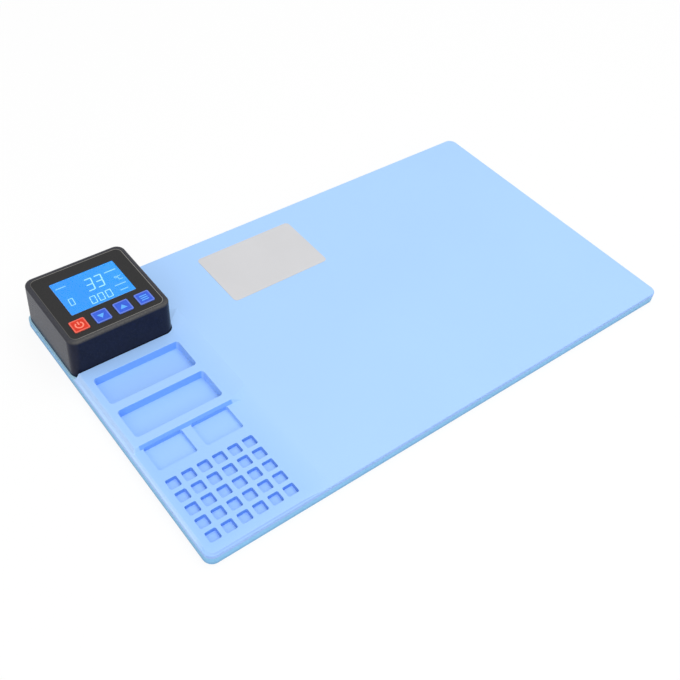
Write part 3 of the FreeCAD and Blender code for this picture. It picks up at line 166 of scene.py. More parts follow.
class Finish(Nodes):
    """A procedural surface: nodes built round one Principled shader, in object coordinates."""

    def __init__(self, name, roughness, metallic=0.0):
        self.material = bpy.data.materials.new(name)
        self.material.use_nodes = True
        super().__init__(self.material.node_tree)
        self.tree.nodes.clear()
        output = self.tree.nodes.new("ShaderNodeOutputMaterial")
        self.shader = self.tree.nodes.new("ShaderNodeBsdfPrincipled")
        self.set("Roughness", roughness)
        self.set("Metallic", metallic)
        self.tree.links.new(self.shader.outputs["BSDF"], output.inputs["Surface"])
        coordinates = self.tree.nodes.new("ShaderNodeTexCoord")
        self.place = coordinates.outputs["Object"]
        self.facing = coordinates.outputs["Normal"]

    def set(self, name, value):
        """Give the shader a plain value."""
        self.shader.inputs[name].default_value = value

    def feed(self, source, name):
        """Give the shader a value that changes over the surface."""
        self.tree.links.new(source, self.shader.inputs[name])

    def add(self, group, **values):
        """Place a shared effect, with its inputs given by name."""
        node = self.tree.nodes.new("ShaderNodeGroup")
        node.node_tree = group
        for name, value in values.items():
            self.put(value, node.inputs[name.replace("_", " ")])
        return node.outputs

    def bump(self, height, distance):
        """Raise the surface by a height pattern, in shading only."""
        node = self.tree.nodes.new("ShaderNodeBump")
        node.inputs["Distance"].default_value = distance
        self.tree.links.new(height, node.inputs["Height"])
        self.feed(node.outputs["Normal"], "Normal")

    def outline(self, low, high, corner, inset=0.0):
        """Distance to the rounded outline of a box seen from above."""
        half = (high - low) / 2
        shift = Vector((inset, inset, 0.0))
        return self.add(
            rounded_outline, Place=self.place, Middle=(low + high) / 2, Half=half - shift, Corner=corner
        )["Distance"]

    def textured(self, colour, mottle, grain, gloss=0.08):
        """Put on the shared grain and give its colour. Mottle is scale and amount, grain scale and height."""
        surface = self.add(
            moulded_grain, Place=self.place, Colour=colour, Mottle_Scale=mottle[0], Mottle=mottle[1],
            Grain_Scale=grain[0], Roughness=self.shader.inputs["Roughness"].default_value, Gloss=gloss,
        )
        self.feed(surface["Colour"], "Base Color")
        self.feed(surface["Roughness"], "Roughness")
        self.bump(surface["Height"], grain[1])
        return surface["Colour"]


def finished(name, colour, roughness, metallic, mottle, grain):
    """A plain finish: one colour with the shared grain."""
    finish = Finish(name, roughness, metallic)
    finish.textured(colour, mottle, grain)
    return finish


def coat(node, material):
    """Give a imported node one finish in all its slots."""
    slots = nodes[node].data.materials
    if not slots:
        slots.append(material)
    for index in range(len(slots)):
        slots[index] = material


# Weak gloss of silicone, label and satin plastic.
SOFT_GLOSS = 0.2

# Silicone of the mat, with painted shade making it deeper in its pockets and duller on its outer flanks, and
# a painted highlight making its left crest paler.
MAT_BLUE = (0.395, 0.62, 0.975, 1.0)
# Tones of painted shade for pockets, cells and flanks, and of a painted highlight for the crest.
POCKET_SHADE_BLUE = (0.20, 0.44, 0.98, 1.0)
CELL_SHADE_BLUE = (0.11, 0.27, 0.78, 1.0)
FLANK_SHADE_BLUE = (0.295, 0.475, 0.86, 1.0)
CREST_HIGHLIGHT_BLUE = (0.465, 0.665, 0.99, 1.0)
SUNK_SHARE = 0.33
WALL_SHARE = 0.96
REAR_WALL_SHARE = 0.5
LEVEL_SHARE = 0.19
LEFT_SHARE = 0.18
CELL_SHARE = 0.65
STEP_SHARE = 0.3
LEFT_FLANK_SHARE = 0.5
MAT_CORNER = 6.0 * MM
FRONT_LEVEL = 8.6 * MM
POCKET_LOW = Vector((-184.0, -104.0, 0.0)) * MM
POCKET_HIGH = Vector((-120.5, 34.5, 0.0)) * MM
POCKET_CORNER = 1.0 * MM
POCKET_BLUR = 0.5 * MM
STEP_LINE = -28.2 * MM
STEP_WIDE = 1.8 * MM
CELL_LINE = -49.0 * MM
FRONT_RIM = -104.0 * MM
LEVEL_LEFT = -188.0 * MM
LEVEL_RIGHT = -120.0 * MM
LEVEL_FADE = 16.0 * MM
FRONT_CREST = -188.8 * MM
REAR_CREST = -187.3 * MM
CREST_WIDE = 1.4 * MM
CREST_FADE = 8.0 * MM
CELL_BLUR = 2.0 * MM

# Where each mask of the silicone starts and ends: depths, gaps, and how far the surface turns.
SUNK_DEPTH = (0.3 * MM, 2.8 * MM)
STEP_REACH = (1.2 * MM, 2.2 * MM)
OUTER_GAP = (-0.35 * MM, -0.02 * MM)
STEEP_TURN = (0.7, 0.96)
REAR_TURN = (0.1, 0.6)
SIDE_TURN = (0.3, 0.8)
LEFT_TURN = (-0.9, -0.5)
FRONT_TURN = (-0.5, -0.12)
mat_low, mat_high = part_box("work_mat")
silicone = Finish("mat_silicone", roughness=0.5)
silicone.set("Specular IOR Level", SOFT_GLOSS)
top_tone = silicone.textured(MAT_BLUE, mottle=(9.0, 0.012), grain=(2600.0, 0.00003), gloss=0.06)
along, across, height = silicone.axes(silicone.place)
sideways, frontward, upright = silicone.axes(silicone.facing)

# Painted shade on sunk floors and on the walls of the pockets, with a trace of it on the level round them.
pocket_gap = silicone.outline(POCKET_LOW, POCKET_HIGH, POCKET_CORNER)
pocket_zone = silicone.spread(pocket_gap, -POCKET_BLUR, POCKET_BLUR, 1.0, 0.0)
level = silicone.spread(across, STEP_LINE, STEP_LINE + STEP_WIDE, FRONT_LEVEL, mat_high.z)
sunk = silicone.spread(silicone.math("SUBTRACT", level, height), *SUNK_DEPTH, 0.0, SUNK_SHARE)
steep = silicone.spread(silicone.math("ABSOLUTE", upright), *STEEP_TURN, 1.0, 0.0)
sunk_floor = silicone.times(sunk, silicone.math("SUBTRACT", 1.0, steep))
strong = silicone.times(steep, silicone.spread(frontward, *REAR_TURN, 1.0, REAR_WALL_SHARE))
wall = silicone.times(
    strong, silicone.spread(silicone.math("ABSOLUTE", sideways), *SIDE_TURN, WALL_SHARE, 0.0)
)
deep = silicone.times(silicone.math("MAXIMUM", sunk_floor, wall), pocket_zone)
front_left = silicone.times(
    silicone.spread(across, STEP_LINE - MM, STEP_LINE, 1.0, 0.0),
    silicone.spread(along, LEVEL_LEFT, LEVEL_RIGHT, LEFT_SHARE, 0.0),
)
trace = silicone.math("ADD", front_left, LEVEL_SHARE)
level_shade_zone = silicone.spread(pocket_gap, 0.0, LEVEL_FADE, trace, 0.0)
pocket_shade_tone = silicone.mix(silicone.math("MAXIMUM", deep, level_shade_zone), top_tone, POCKET_SHADE_BLUE)

# Painted shade, darker still, on the walls of the small cells and at the step.
near_cells = silicone.spread(across, CELL_LINE - CELL_BLUR, CELL_LINE, CELL_SHARE, 0.0)
step_gap = silicone.math("ABSOLUTE", silicone.math("SUBTRACT", across, STEP_LINE))
near_step = silicone.spread(step_gap, *STEP_REACH, STEP_SHARE, 0.0)
wall_shade_mask = silicone.times(strong, silicone.math("MAXIMUM", near_cells, near_step), pocket_zone)
cell_shade_tone = silicone.mix(wall_shade_mask, pocket_shade_tone, CELL_SHADE_BLUE)

# Painted highlight on the crest of the left side, on both levels, and painted shade on the outer flanks.
crest_line = silicone.spread(across, STEP_LINE - MM, STEP_LINE + MM, FRONT_CREST, REAR_CREST)
crest = silicone.times(
    silicone.spread(along, crest_line, silicone.math("ADD", crest_line, CREST_WIDE), 1.0, 0.0),
    silicone.spread(across, FRONT_RIM, FRONT_RIM + CREST_FADE),
)
crest_highlight_tone = silicone.mix(crest, cell_shade_tone, CREST_HIGHLIGHT_BLUE)
# Painted shade on the outer flanks, half as strong on those facing left, and on the front flanks.
outer_wall_shade = silicone.times(
    silicone.spread(silicone.outline(mat_low, mat_high, MAT_CORNER), *OUTER_GAP),
    silicone.spread(sideways, *LEFT_TURN, LEFT_FLANK_SHARE, 1.0),
)
front_flank_shade = silicone.times(
    silicone.spread(frontward, *FRONT_TURN, 1.0, 0.0),
    silicone.spread(across, FRONT_RIM - MM, FRONT_RIM, 1.0, 0.0),
)
flank = silicone.math("MAXIMUM", outer_wall_shade, front_flank_shade)
silicone.feed(silicone.mix(flank, crest_highlight_tone, FLANK_SHADE_BLUE), "Base Color")
coat("work_mat", silicone.material)

# Moulded edge of the base tray, with painted shade darker at its foot and painted light paler on the ledge
# beside the controller.
EDGE_BLUE = (0.235, 0.515, 0.81, 1.0)
FOOT_SHADE_BLUE = (0.165, 0.375, 0.60, 1.0)
LEDGE_LIT_BLUE = (0.46, 0.76, 0.96, 1.0)
FOOT_HEIGHT = (0.8 * MM, 3.2 * MM)
FOOT_SHARE = 0.8
LEDGE_TURN = (0.4, 0.9)
edge = Finish("base_silicone", roughness=0.5)
edge.set("Specular IOR Level", SOFT_GLOSS)
edge_tone = edge.textured(EDGE_BLUE, mottle=(25.0, 0.03), grain=(1800.0, 0.00003))
# Painted shade, darker towards the foot.
foot = edge.spread(edge.axes(edge.place)[2], *FOOT_HEIGHT, FOOT_SHARE, 0.0)
# Painted light, paler on the faces that point up.
ledge = edge.spread(edge.axes(edge.facing)[2], *LEDGE_TURN)
edge.feed(edge.mix(ledge, edge.mix(foot, edge_tone, FOOT_SHADE_BLUE), LEDGE_LIT_BLUE), "Base Color")
coat("base_shell", edge.material)

# Smooth blank sheet on the heated field.
LABEL_GREY = (0.61, 0.61, 0.625, 1.0)
label = finished("label_sheet", LABEL_GREY, 0.5, 0.0, mottle=(30.0, 0.015), grain=(900.0, 0.00001))
label.set("Specular IOR Level", SOFT_GLOSS)
coat("blank_label", label.material)

# Controller box: black and finely grained, with a painted highlight paler round its top, more at the front.
# Black with a blue cast; the black is the box's own colour, the blue is painted reflection of the mat.
HOUSING_BLACK_BLUE_CAST = (0.0125, 0.0155, 0.034, 1.0)
HOUSING_HIGHLIGHT = (0.096, 0.094, 0.091, 1.0)
HOUSING_GLOSS = 0.085
TOP_HIGHLIGHT_START = 2.0 * MM
TOP_HIGHLIGHT_END = 0.4 * MM
HIGHLIGHT_FRONT_START = 2.0 * MM
HIGHLIGHT_FRONT_END = 6.0 * MM
REAR_HIGHLIGHT = 0.55
PATCH_SCALE = 900.0
LEAST_PATCH = 0.6
housing = Finish("housing_black", roughness=0.25)
housing.set("Specular IOR Level", HOUSING_GLOSS)
housing_tone = housing.textured(HOUSING_BLACK_BLUE_CAST, mottle=(500.0, 0.12), grain=(2200.0, 0.00003), gloss=0.05)
box_low, box_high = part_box("controller_housing")
_, depth, height = housing.axes(housing.place)
# Painted highlight round the top edge, stronger at the front and broken up at random.
highlight_band = housing.spread(height, box_high.z - TOP_HIGHLIGHT_START, box_high.z - TOP_HIGHLIGHT_END)
front_share = housing.spread(depth, box_low.y + HIGHLIGHT_FRONT_START, box_low.y + HIGHLIGHT_FRONT_END, 1.0, REAR_HIGHLIGHT)
patchy = housing.spread(housing.noise(housing.place, PATCH_SCALE, 3.0), *NOISE_RANGE, LEAST_PATCH, 1.0)
rim_highlight = housing.times(highlight_band, front_share, patchy)
housing.feed(housing.mix(rim_highlight, housing_tone, HOUSING_HIGHLIGHT), "Base Color")
coat("controller_housing", housing.material)

# Charcoal panel with a painted highlight as a fine bright line round its edge, weaker at the left.
PANEL_GREY = (0.0155, 0.0152, 0.0155, 1.0)
PANEL_HIGHLIGHT = (0.27, 0.262, 0.245, 1.0)
PANEL_CORNER = 4.3 * MM
HIGHLIGHT_GAP = (-0.45 * MM, -0.30 * MM)
LEFT_START = 0.5 * MM
LEFT_END = 4.0 * MM
LEFT_HIGHLIGHT = 0.3
panel = Finish("panel_grey", roughness=0.46)
panel.set("Specular IOR Level", SOFT_GLOSS)
panel_tone = panel.textured(PANEL_GREY, mottle=(1400.0, 0.3), grain=(2400.0, 0.00003), gloss=0.06)
panel_low, panel_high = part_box("front_panel")
# Painted highlight line along the edge, weaker towards the left side.
highlight_line = panel.spread(panel.outline(panel_low, panel_high, PANEL_CORNER), *HIGHLIGHT_GAP)
from_left = panel.axes(panel.place)[0]
lit_side = panel.spread(from_left, panel_low.x + LEFT_START, panel_low.x + LEFT_END, LEFT_HIGHLIGHT, 1.0)
panel.feed(panel.mix(panel.times(highlight_line, lit_side), panel_tone, PANEL_HIGHLIGHT), "Base Color")
coat("front_panel", panel.material)

# Clear pane over the display, with a slight haze.
PANE_CLEAR = (0.96, 0.98, 1.0, 1.0)
PANE_IOR = 1.2
HAZE_SCALE = 60.0
HAZE_RANGE = (0.35, 0.75)
HAZE_ROUGH = (0.01, 0.06)
pane = Finish("window_clear", roughness=0.03)
pane.set("Base Color", PANE_CLEAR)
pane.set("Transmission Weight", 1.0)
pane.set("IOR", PANE_IOR)
haze = pane.noise(pane.place, HAZE_SCALE, 4.0)
pane.feed(pane.spread(haze, *HAZE_RANGE, *HAZE_ROUGH), "Roughness")
coat("display_window", pane.material)

# Key caps: a coloured field inside a lighter rim. The colours are those of field, rim and symbol.
RED_KEY = ((0.66, 0.036, 0.014, 1.0), (0.84, 0.14, 0.10, 1.0), (0.98, 0.27, 0.19, 1.0))
BLUE_KEY = ((0.036, 0.112, 0.66, 1.0), (0.13, 0.22, 0.76, 1.0), (0.12, 0.42, 0.98, 1.0))
KEY_LIP = 0.9 * MM
KEY_CORNER = 0.9 * MM
KEY_RIM_GAP = (-0.95 * MM, -0.75 * MM)
icon_finish = {}
for name in KEYS:
    field, rim, icon = RED_KEY if name == "power" else BLUE_KEY
    cap = Finish("key_cap_" + name, roughness=0.42)
    cap.set("Specular IOR Level", SOFT_GLOSS)
    field_tone = cap.textured(field, mottle=(600.0, 0.12), grain=(2600.0, 0.00002), gloss=0.06)
    cap_gap = cap.outline(*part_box("key_" + name), KEY_CORNER, KEY_LIP)
    cap.feed(cap.mix(cap.spread(cap_gap, *KEY_RIM_GAP), field_tone, rim), "Base Color")
    coat("key_" + name, cap.material)
    symbol = finished("icon_" + name, icon, 0.45, 0.0, mottle=(900.0, 0.05), grain=(2600.0, 0.00001))
    symbol.set("Specular IOR Level", SOFT_GLOSS)
    icon_finish[name] = symbol.material

# Pieces inside the base and the box: name, colour, roughness, metal, mottle and grain.
BOARD = (0.35, 0.0, (300.0, 0.15), (1200.0, 0.00003))
SENSOR = (0.6, 0.0, (400.0, 0.1), (2500.0, 0.00003))
SCREW = (0.35, 1.0, (600.0, 0.08), (2500.0, 0.00002))
BLOCK = (0.5, 0.0, (300.0, 0.15), (2500.0, 0.00002))
INNER = {
    "insulation_pad": ("felt", (0.62, 0.60, 0.54, 1), 0.95, 0.0, (500.0, 0.15), (1200.0, 0.0002)),
    "heating_element": ("heater_film", (0.50, 0.20, 0.06, 1), 0.35, 0.0, (120.0, 0.08), (1500.0, 0.00002)),
    "spreader_plate": ("plate_metal", (0.72, 0.73, 0.74, 1), 0.38, 1.0, (60.0, 0.04), (1800.0, 0.00002)),
    "heater_terminals": ("tin_metal", (0.66, 0.66, 0.64, 1), 0.32, 1.0, (700.0, 0.08), (2500.0, 0.00002)),
    "inlet_pins": ("pin_metal", (0.70, 0.69, 0.66, 1), 0.25, 1.0, (500.0, 0.06), (2500.0, 0.00001)),
    "thermal_cutout": ("sensor_case", (0.42, 0.39, 0.33, 1), *SENSOR),
    "temperature_sensor": ("sensor_case_b", (0.36, 0.33, 0.28, 1), *SENSOR),
    "lcd_backlight": ("light_box", (0.76, 0.78, 0.80, 1), 0.55, 0.0, (200.0, 0.04), (2000.0, 0.00002)),
    "control_board": ("board_green", (0.015, 0.13, 0.05, 1), *BOARD),
    "power_board": ("board_green_b", (0.017, 0.12, 0.05, 1), *BOARD),
    "key_switches": ("switch_black", (0.025, 0.025, 0.027, 1), 0.5, 0.0, (500.0, 0.15), (2500.0, 0.00002)),
    "supply_module": ("case_black", (0.020, 0.020, 0.022, 1), 0.45, 0.0, (300.0, 0.15), (2500.0, 0.00003)),
    "relay": ("case_blue", (0.02, 0.10, 0.36, 1), 0.4, 0.0, (300.0, 0.08), (2500.0, 0.00002)),
    "lead_terminal": ("case_green", (0.03, 0.28, 0.10, 1), 0.45, 0.0, (300.0, 0.1), (2500.0, 0.00002)),
    "filter_capacitor": ("sleeve_dark", (0.02, 0.03, 0.06, 1), 0.3, 0.0, (300.0, 0.1), (2500.0, 0.00001)),
    "line_fuse": ("fuse_brown", (0.10, 0.05, 0.03, 1), 0.4, 0.0, (300.0, 0.1), (2500.0, 0.00002)),
    "buzzer": ("buzzer_black", (0.018, 0.018, 0.018, 1), *BLOCK),
    "board_link": ("header_black", (0.022, 0.022, 0.022, 1), *BLOCK),
    "controller_chip": ("chip_black", (0.020, 0.020, 0.021, 1), 0.55, 0.0, (300.0, 0.15), (2500.0, 0.00002)),
    "sensor_socket": ("socket_white", (0.74, 0.73, 0.68, 1), 0.5, 0.0, (300.0, 0.04), (2500.0, 0.00002)),
    "mains_inlet": ("inlet_black", (0.016, 0.016, 0.017, 1), 0.5, 0.0, (300.0, 0.15), (2500.0, 0.00003)),
    "housing_screws": ("screw_steel", (0.50, 0.50, 0.51, 1), *SCREW),
    "control_board_screws": ("screw_steel_b", (0.52, 0.52, 0.53, 1), *SCREW),
    "power_board_screws": ("screw_steel_c", (0.52, 0.52, 0.53, 1), *SCREW),
    "heater_leads": ("lead_red", (0.50, 0.03, 0.03, 1), 0.5, 0.0, (500.0, 0.08), (2500.0, 0.00002)),
    "sensor_leads": ("lead_white", (0.74, 0.73, 0.70, 1), 0.5, 0.0, (500.0, 0.05), (2500.0, 0.00002)),
}
for node, values in INNER.items():
    coat(node, finished(*values).material)
PLUNGER = ((0.30, 0.30, 0.31, 1), 0.5, 0.0, (500.0, 0.08), (2500.0, 0.00002))
for name in KEYS:
    coat("plunger_" + name, finished("plunger_" + name, *PLUNGER).material)


def piece(name, mesh_builder, material, body):
    """A new mesh piece, placed in its own vertices, riding on a body."""
    mesh = bpy.data.meshes.new(name)
    build = bmesh.new()
    mesh_builder(build)
    bmesh.ops.recalc_face_normals(build, faces=build.faces)
    build.to_mesh(mesh)
    build.free()
    made = bpy.data.objects.new(name, mesh)
    bpy.context.scene.collection.objects.link(made)
    mesh.materials.append(material)
    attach(made, body)
    return made


def lift(build, faces, rise):
    """Thicken flat faces upwards into one closed plate."""
    raised = bmesh.ops.extrude_face_region(build, geom=faces)
    moved = [item for item in raised["geom"] if isinstance(item, bmesh.types.BMVert)]
    bmesh.ops.translate(build, vec=(0, 0, rise), verts=moved)


def plate(build, outline, low, high):
    """A flat plate from a list of plan points, between two levels."""
    lift(build, [build.faces.new([build.verts.new((x, y, low)) for x, y in outline])], high - low)


def frame_band(build, outline, width, low, high):
    """A flat frame of even width inside a list of plan points."""
    face = build.faces.new([build.verts.new((x, y, low)) for x, y in outline])
    face.normal_update()
    inset = bmesh.ops.inset_region(
        build, faces=[face], thickness=width, use_boundary=True, use_even_offset=True
    )
    bmesh.ops.delete(build, geom=[face], context="FACES_ONLY")
    lift(build, inset["faces"], high - low)


def turned_band(build, centre, radii, levels, start, sweep, steps):
    """A flat band swept round a centre, in degrees, with closed ends unless it goes all the way round."""
    whole = sweep >= 360
    heading = Vector((math.cos(math.radians(start)), math.sin(math.radians(start)), 0.0))
    middle = Vector((*centre, 0.0))
    inner, outer = radii
    low, high = levels
    profile = []
    for radius, level in ((inner, low), (outer, low), (outer, high), (inner, high)):
        profile.append(build.verts.new(middle + heading * radius + Vector((0.0, 0.0, level))))
    section = build.faces.new(profile)
    swept = [section, *section.edges, *profile]
    if whole:
        bmesh.ops.delete(build, geom=[section], context="FACES_ONLY")
        swept = swept[1:]
    bmesh.ops.spin(
        build, geom=swept, cent=middle, axis=(0, 0, 1), angle=math.radians(sweep), steps=steps,
        use_merge=whole,
    )


# Display: a lit face under the pane, with plain numbers in slanted segments. The marks are given in
# millimetres from the near left corner of the pane.
DISPLAY_GAP = 0.06 * MM
MARK_THICK = 0.03 * MM
FACE_BEVEL = 0.15 * MM
SEGMENTS = {0: "abcdef", 3: "abcdg"}
SEGMENT_GAP = 0.12
LARGE_FIGURE = {"base": 13.8, "width": 5.0, "height": 11.4, "stroke": 0.85, "slant": 0.17}
SMALL_FIGURE = {"base": 2.4, "width": 4.0, "height": 7.0, "stroke": 0.6, "slant": 0.12}
LARGE_LEFTS = (18.6, 25.3)
SMALL_LEFTS = (15.2, 20.6, 26.0)
BOX_CORNERS = ((3.6, 8.0), (6.8, 8.0), (7.4, 14.5), (4.2, 14.5))
BOX_LINE = 0.48 * MM
DASHES = ((1.9, 8.7, 26.3, 0.7), (34.5, 42.4, 24.1, 0.9), (34.4, 42.3, 9.7, 0.7), (35.5, 41.0, 4.5, 0.7))
DEGREE_MIDDLE = (38.6, 16.9)
DEGREE_RADII = (0.45 * MM, 0.9 * MM)
UNIT_OUTLINE = (
    (39.7, 13.65), (42.4, 13.65), (42.4, 14.15), (40.2, 14.15),
    (40.2, 16.95), (42.4, 16.95), (42.4, 17.45), (39.7, 17.45),
)
FACE_GLOW = ((0.010, 0.255, 0.94, 1.0), (0.012, 0.345, 0.95, 1.0))
FIGURE_GLOW = ((0.33, 0.75, 0.93, 1.0), (0.38, 0.84, 0.97, 1.0))
LINE_GLOW = ((0.26, 0.64, 0.94, 1.0), (0.29, 0.71, 0.98, 1.0))
CLOUD_SHARE = 0.4
LAMP_SHARE = 0.6
lcd_low, lcd_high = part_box("lcd_panel")
pane_corner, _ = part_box("display_window")
face_level = lcd_high.z - DISPLAY_GAP
mark_levels = (face_level, face_level + MARK_THICK)


def lit_finish(name, body_colour, glow, cloud_scale):
    """A backlit surface: a dark colour of its own under a glow that gains towards the lamp at its right."""
    finish = Finish(name, roughness=0.4)
    finish.set("Specular IOR Level", SOFT_GLOSS)
    finish.textured(body_colour, mottle=(90.0, 0.05), grain=(3000.0, 0.00001))
    cloud = finish.spread(finish.noise(finish.place, cloud_scale, 3.0), *NOISE_RANGE, 0.0, CLOUD_SHARE)
    lamp_side = finish.spread(finish.axes(finish.place)[0], lcd_low.x, lcd_high.x, 0.0, LAMP_SHARE)
    finish.feed(finish.mix(finish.math("ADD", cloud, lamp_side), *glow), "Emission Color")
    finish.set("Emission Strength", 1.0)
    return finish.material


lit = lit_finish("lcd_blue", (0.005, 0.03, 0.10, 1), FACE_GLOW, 45.0)
bright_marks = lit_finish("lcd_marks", (0.05, 0.10, 0.15, 1), FIGURE_GLOW, 300.0)
faint_marks = lit_finish("lcd_lines", (0.02, 0.06, 0.12, 1), LINE_GLOW, 300.0)


def display_block(build):
    """The lit block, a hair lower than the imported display, so that its marks have room."""
    top = Vector((lcd_high.x, lcd_high.y, face_level))
    bmesh.ops.create_cube(build, size=1.0)
    bmesh.ops.scale(build, vec=top - lcd_low, verts=build.verts)
    bmesh.ops.translate(build, vec=(lcd_low + top) / 2, verts=build.verts)
    bmesh.ops.bevel(
        build, geom=list(build.edges), offset=FACE_BEVEL, segments=2, profile=0.5, affect="EDGES",
        material=-1,
    )


lcd_face = piece("lcd_face", display_block, lit, ROOT)
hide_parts("lcd_panel")


def display_point(x, y):
    """A point of the display in the part's frame."""
    return pane_corner.x + x * MM, pane_corner.y + y * MM


def display_plate(build, points):
    """A flat mark from its outline."""
    plate(build, [display_point(*point) for point in points], *mark_levels)


def digit(build, figure, left, base, width, height, stroke, slant):
    """One slanted seven-segment figure."""
    cut = stroke / 2
    gap = stroke * SEGMENT_GAP
    half = height / 2
    bars = {"a": height - stroke, "g": half - cut, "d": 0.0}
    posts = {"f": (0.0, half), "b": (width - stroke, half), "e": (0.0, 0.0), "c": (width - stroke, 0.0)}
    for segment in SEGMENTS[figure]:
        if segment in bars:
            y = bars[segment]
            points = [
                (gap, y + cut), (cut + gap, y), (width - cut - gap, y), (width - gap, y + cut),
                (width - cut - gap, y + stroke), (cut + gap, y + stroke),
            ]
        else:
            x, y = posts[segment]
            points = [
                (x + cut, y + gap), (x + stroke, y + cut + gap), (x + stroke, y + half - cut - gap),
                (x + cut, y + half - gap), (x, y + half - cut - gap), (x, y + cut + gap),
            ]
        display_plate(build, [(left + px + py * slant, base + py) for px, py in points])


def dash(build, left, right, middle, height):
    """A short straight line."""
    low = middle - height / 2
    high = middle + height / 2
    display_plate(build, [(left, low), (right, low), (right, high), (left, high)])


def display_figures(build):
    for left in LARGE_LEFTS:
        digit(build, 3, left, **LARGE_FIGURE)
    for left in SMALL_LEFTS:
        digit(build, 0, left, **SMALL_FIGURE)
    frame_band(build, [display_point(*corner) for corner in BOX_CORNERS], BOX_LINE, *mark_levels)


def display_lines(build):
    for row in DASHES:
        dash(build, *row)
    ring_middle = display_point(*DEGREE_MIDDLE)
    turned_band(build, ring_middle, DEGREE_RADII, mark_levels, start=0, sweep=360, steps=16)
    display_plate(build, UNIT_OUTLINE)


piece("lcd_figures", display_figures, bright_marks, ROOT)
piece("lcd_lines", display_lines, faint_marks, ROOT)

# Key symbols, raised a hair on the sunk field of each cap, in millimetres from the middle of the cap.
KEY_DIP = 0.12 * MM
ICON_THICK = 0.08 * MM
POWER_RADII = (1.95 * MM, 2.85 * MM)
POWER_BAR = ((-0.45, 0.3), (0.45, 0.3), (0.45, 3.2), (-0.45, 3.2))
DOWN_ARROW = ((-2.3, 1.6), (0.0, -2.0), (2.3, 1.6))
UP_ARROW = ((-2.3, -1.6), (2.3, -1.6), (0.0, 2.0))
BAR_BASES = (-2.2, -0.4, 1.4)
BAR_HALF = 2.4
BAR_HIGH = 0.8


def key_middle(name):
    """The middle of a key cap, seen from above."""
    cap_low, cap_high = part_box("key_" + name)
    return (cap_low.x + cap_high.x) / 2, (cap_low.y + cap_high.y) / 2


def icon_levels(name):
    """Foot and top of a key's symbol."""
    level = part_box("key_" + name)[1].z - KEY_DIP
    return level, level + ICON_THICK


def key_plate(build, name, points):
    """A flat symbol from its outline."""
    middle_x, middle_y = key_middle(name)
    plate(build, [(middle_x + x * MM, middle_y + y * MM) for x, y in points], *icon_levels(name))


def power_icon(build):
    turned_band(
        build, key_middle("power"), POWER_RADII, icon_levels("power"), start=125, sweep=290, steps=30
    )
    key_plate(build, "power", POWER_BAR)


def down_icon(build):
    key_plate(build, "down", DOWN_ARROW)


def up_icon(build):
    key_plate(build, "up", UP_ARROW)


def mode_icon(build):
    for low in BAR_BASES:
        high = low + BAR_HIGH
        key_plate(build, "mode", [(-BAR_HALF, low), (BAR_HALF, low), (BAR_HALF, high), (-BAR_HALF, high)])


ICONS = {"power": power_icon, "down": down_icon, "up": up_icon, "mode": mode_icon}
for name in KEYS:
    piece("icon_" + name, ICONS[name], icon_finish[name], "body_key_" + name)

# Pale floor and studio: both show white to the eye and in gloss and glass, and light the object softly.
FLOOR_PALE = (0.93, 0.93, 0.93, 1.0)
FLOOR_DROP = 0.3 * MM
FLOOR_HALF = 6.0
FLOOR_GLOW = 0.88
SHADOW_NEAR = 0.6
SHADOW_FAR = 2.5
STUDIO_WHITE = (1.0, 1.0, 1.0, 1.0)
STUDIO_LIGHT = 0.55


def seen_rays(work, share):
    """A share for what the camera sees, straight on or in gloss and glass, and none for other light."""
    path = work.tree.nodes.new("ShaderNodeLightPath")
    total = path.outputs["Is Camera Ray"]
    for kind in ("Is Glossy Ray", "Is Transmission Ray"):
        total = work.math("MAXIMUM", total, path.outputs[kind])
    return work.times(total, share)


def two_shades(work, plain, seen, share, output):
    """Blend a plain shader with the white one that seen rays meet."""
    blend = work.tree.nodes.new("ShaderNodeMixShader")
    work.put(seen_rays(work, share), blend.inputs[0])
    work.put(plain.outputs[0], blend.inputs[1])
    work.put(seen.outputs[0], blend.inputs[2])
    work.put(blend.outputs[0], output.inputs["Surface"])


floor_mesh = bpy.data.meshes.new("floor")
floor_build = bmesh.new()
bmesh.ops.create_grid(floor_build, x_segments=2, y_segments=2, size=FLOOR_HALF)
bmesh.ops.translate(floor_build, vec=(0, 0, -FLOOR_DROP), verts=floor_build.verts)
floor_build.to_mesh(floor_mesh)
floor_build.free()
floor = bpy.data.objects.new("floor", floor_mesh)
bpy.context.scene.collection.objects.link(floor)
floor_material = bpy.data.materials.new("floor_white")
floor_material.use_nodes = True
floor_work = Nodes(floor_material.node_tree)
floor_work.tree.nodes.clear()
diffuse = floor_work.tree.nodes.new("ShaderNodeBsdfDiffuse")
diffuse.inputs["Color"].default_value = FLOOR_PALE
glow = floor_work.tree.nodes.new("ShaderNodeEmission")
spot = floor_work.tree.nodes.new("ShaderNodeTexCoord").outputs["Object"]
away = floor_work.vector("LENGTH", spot, output=1)
fade = floor_work.spread(away, SHADOW_NEAR, SHADOW_FAR, FLOOR_GLOW, 1.0)
two_shades(floor_work, diffuse, glow, fade, floor_work.tree.nodes.new("ShaderNodeOutputMaterial"))
floor_mesh.materials.append(floor_material)

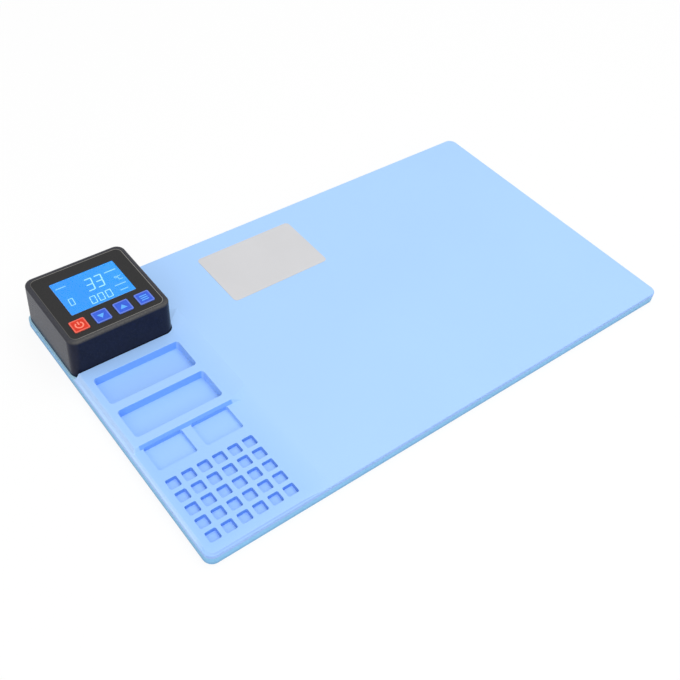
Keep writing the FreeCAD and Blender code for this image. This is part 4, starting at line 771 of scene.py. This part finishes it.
world = bpy.data.worlds.new("studio")
bpy.context.scene.world = world
world.use_nodes = True
world_work = Nodes(world.node_tree)
world_work.tree.nodes.clear()
soft = world_work.tree.nodes.new("ShaderNodeBackground")
soft.inputs["Color"].default_value = STUDIO_WHITE
soft.inputs["Strength"].default_value = STUDIO_LIGHT
white = world_work.tree.nodes.new("ShaderNodeBackground")
white.inputs["Color"].default_value = STUDIO_WHITE
two_shades(world_work, soft, white, 1.0, world_work.tree.nodes.new("ShaderNodeOutputWorld"))


def softbox(name, place, target, width, height, power):
    """A wide soft lamp aimed at a point."""
    lamp = bpy.data.lights.new(name, "AREA")
    lamp.shape = "RECTANGLE"
    lamp.size = width
    lamp.size_y = height
    lamp.energy = power
    holder = bpy.data.objects.new(name, lamp)
    holder.location = place
    holder.rotation_mode = "QUATERNION"
    holder.rotation_quaternion = (Vector(target) - Vector(place)).to_track_quat("-Z", "Y")
    bpy.context.scene.collection.objects.link(holder)


softbox("top_softbox", place=(0.2, -0.2, 1.5), target=(0.0, 0.0, 0.0), width=1.8, height=1.4, power=15.0)
softbox(
    "front_softbox", place=(-0.95, -1.15, 0.8), target=(-0.05, 0.0, 0.0), width=1.4, height=0.8, power=6.0
)

# Camera at the photograph's viewpoint.
RIGHT = Vector((0.78740935, -0.61115851, 0.08044747))
UP = Vector((0.4003125, 0.6062156, 0.68720634))
AHEAD = Vector((0.46876051, 0.50890857, -0.72199422))
PLACE = Vector((-0.319468, -0.333699, 0.450311))
SENSOR_WIDE = 36.0
LENS = 49.236
NEAREST = 0.01
FARTHEST = 50.0
camera_data = bpy.data.cameras.new("camera")
camera_data.sensor_fit = "HORIZONTAL"
camera_data.sensor_width = SENSOR_WIDE
camera_data.lens = LENS
camera_data.clip_start = NEAREST
camera_data.clip_end = FARTHEST
camera = bpy.data.objects.new("camera", camera_data)
columns = (RIGHT, UP, -AHEAD, PLACE)
rows = [[column[axis] for column in columns] for axis in range(3)]
camera.matrix_world = Matrix((*rows, (0, 0, 0, 1)))
bpy.context.scene.collection.objects.link(camera)
bpy.context.scene.camera = camera
bpy.context.scene.view_settings.view_transform = "Standard"
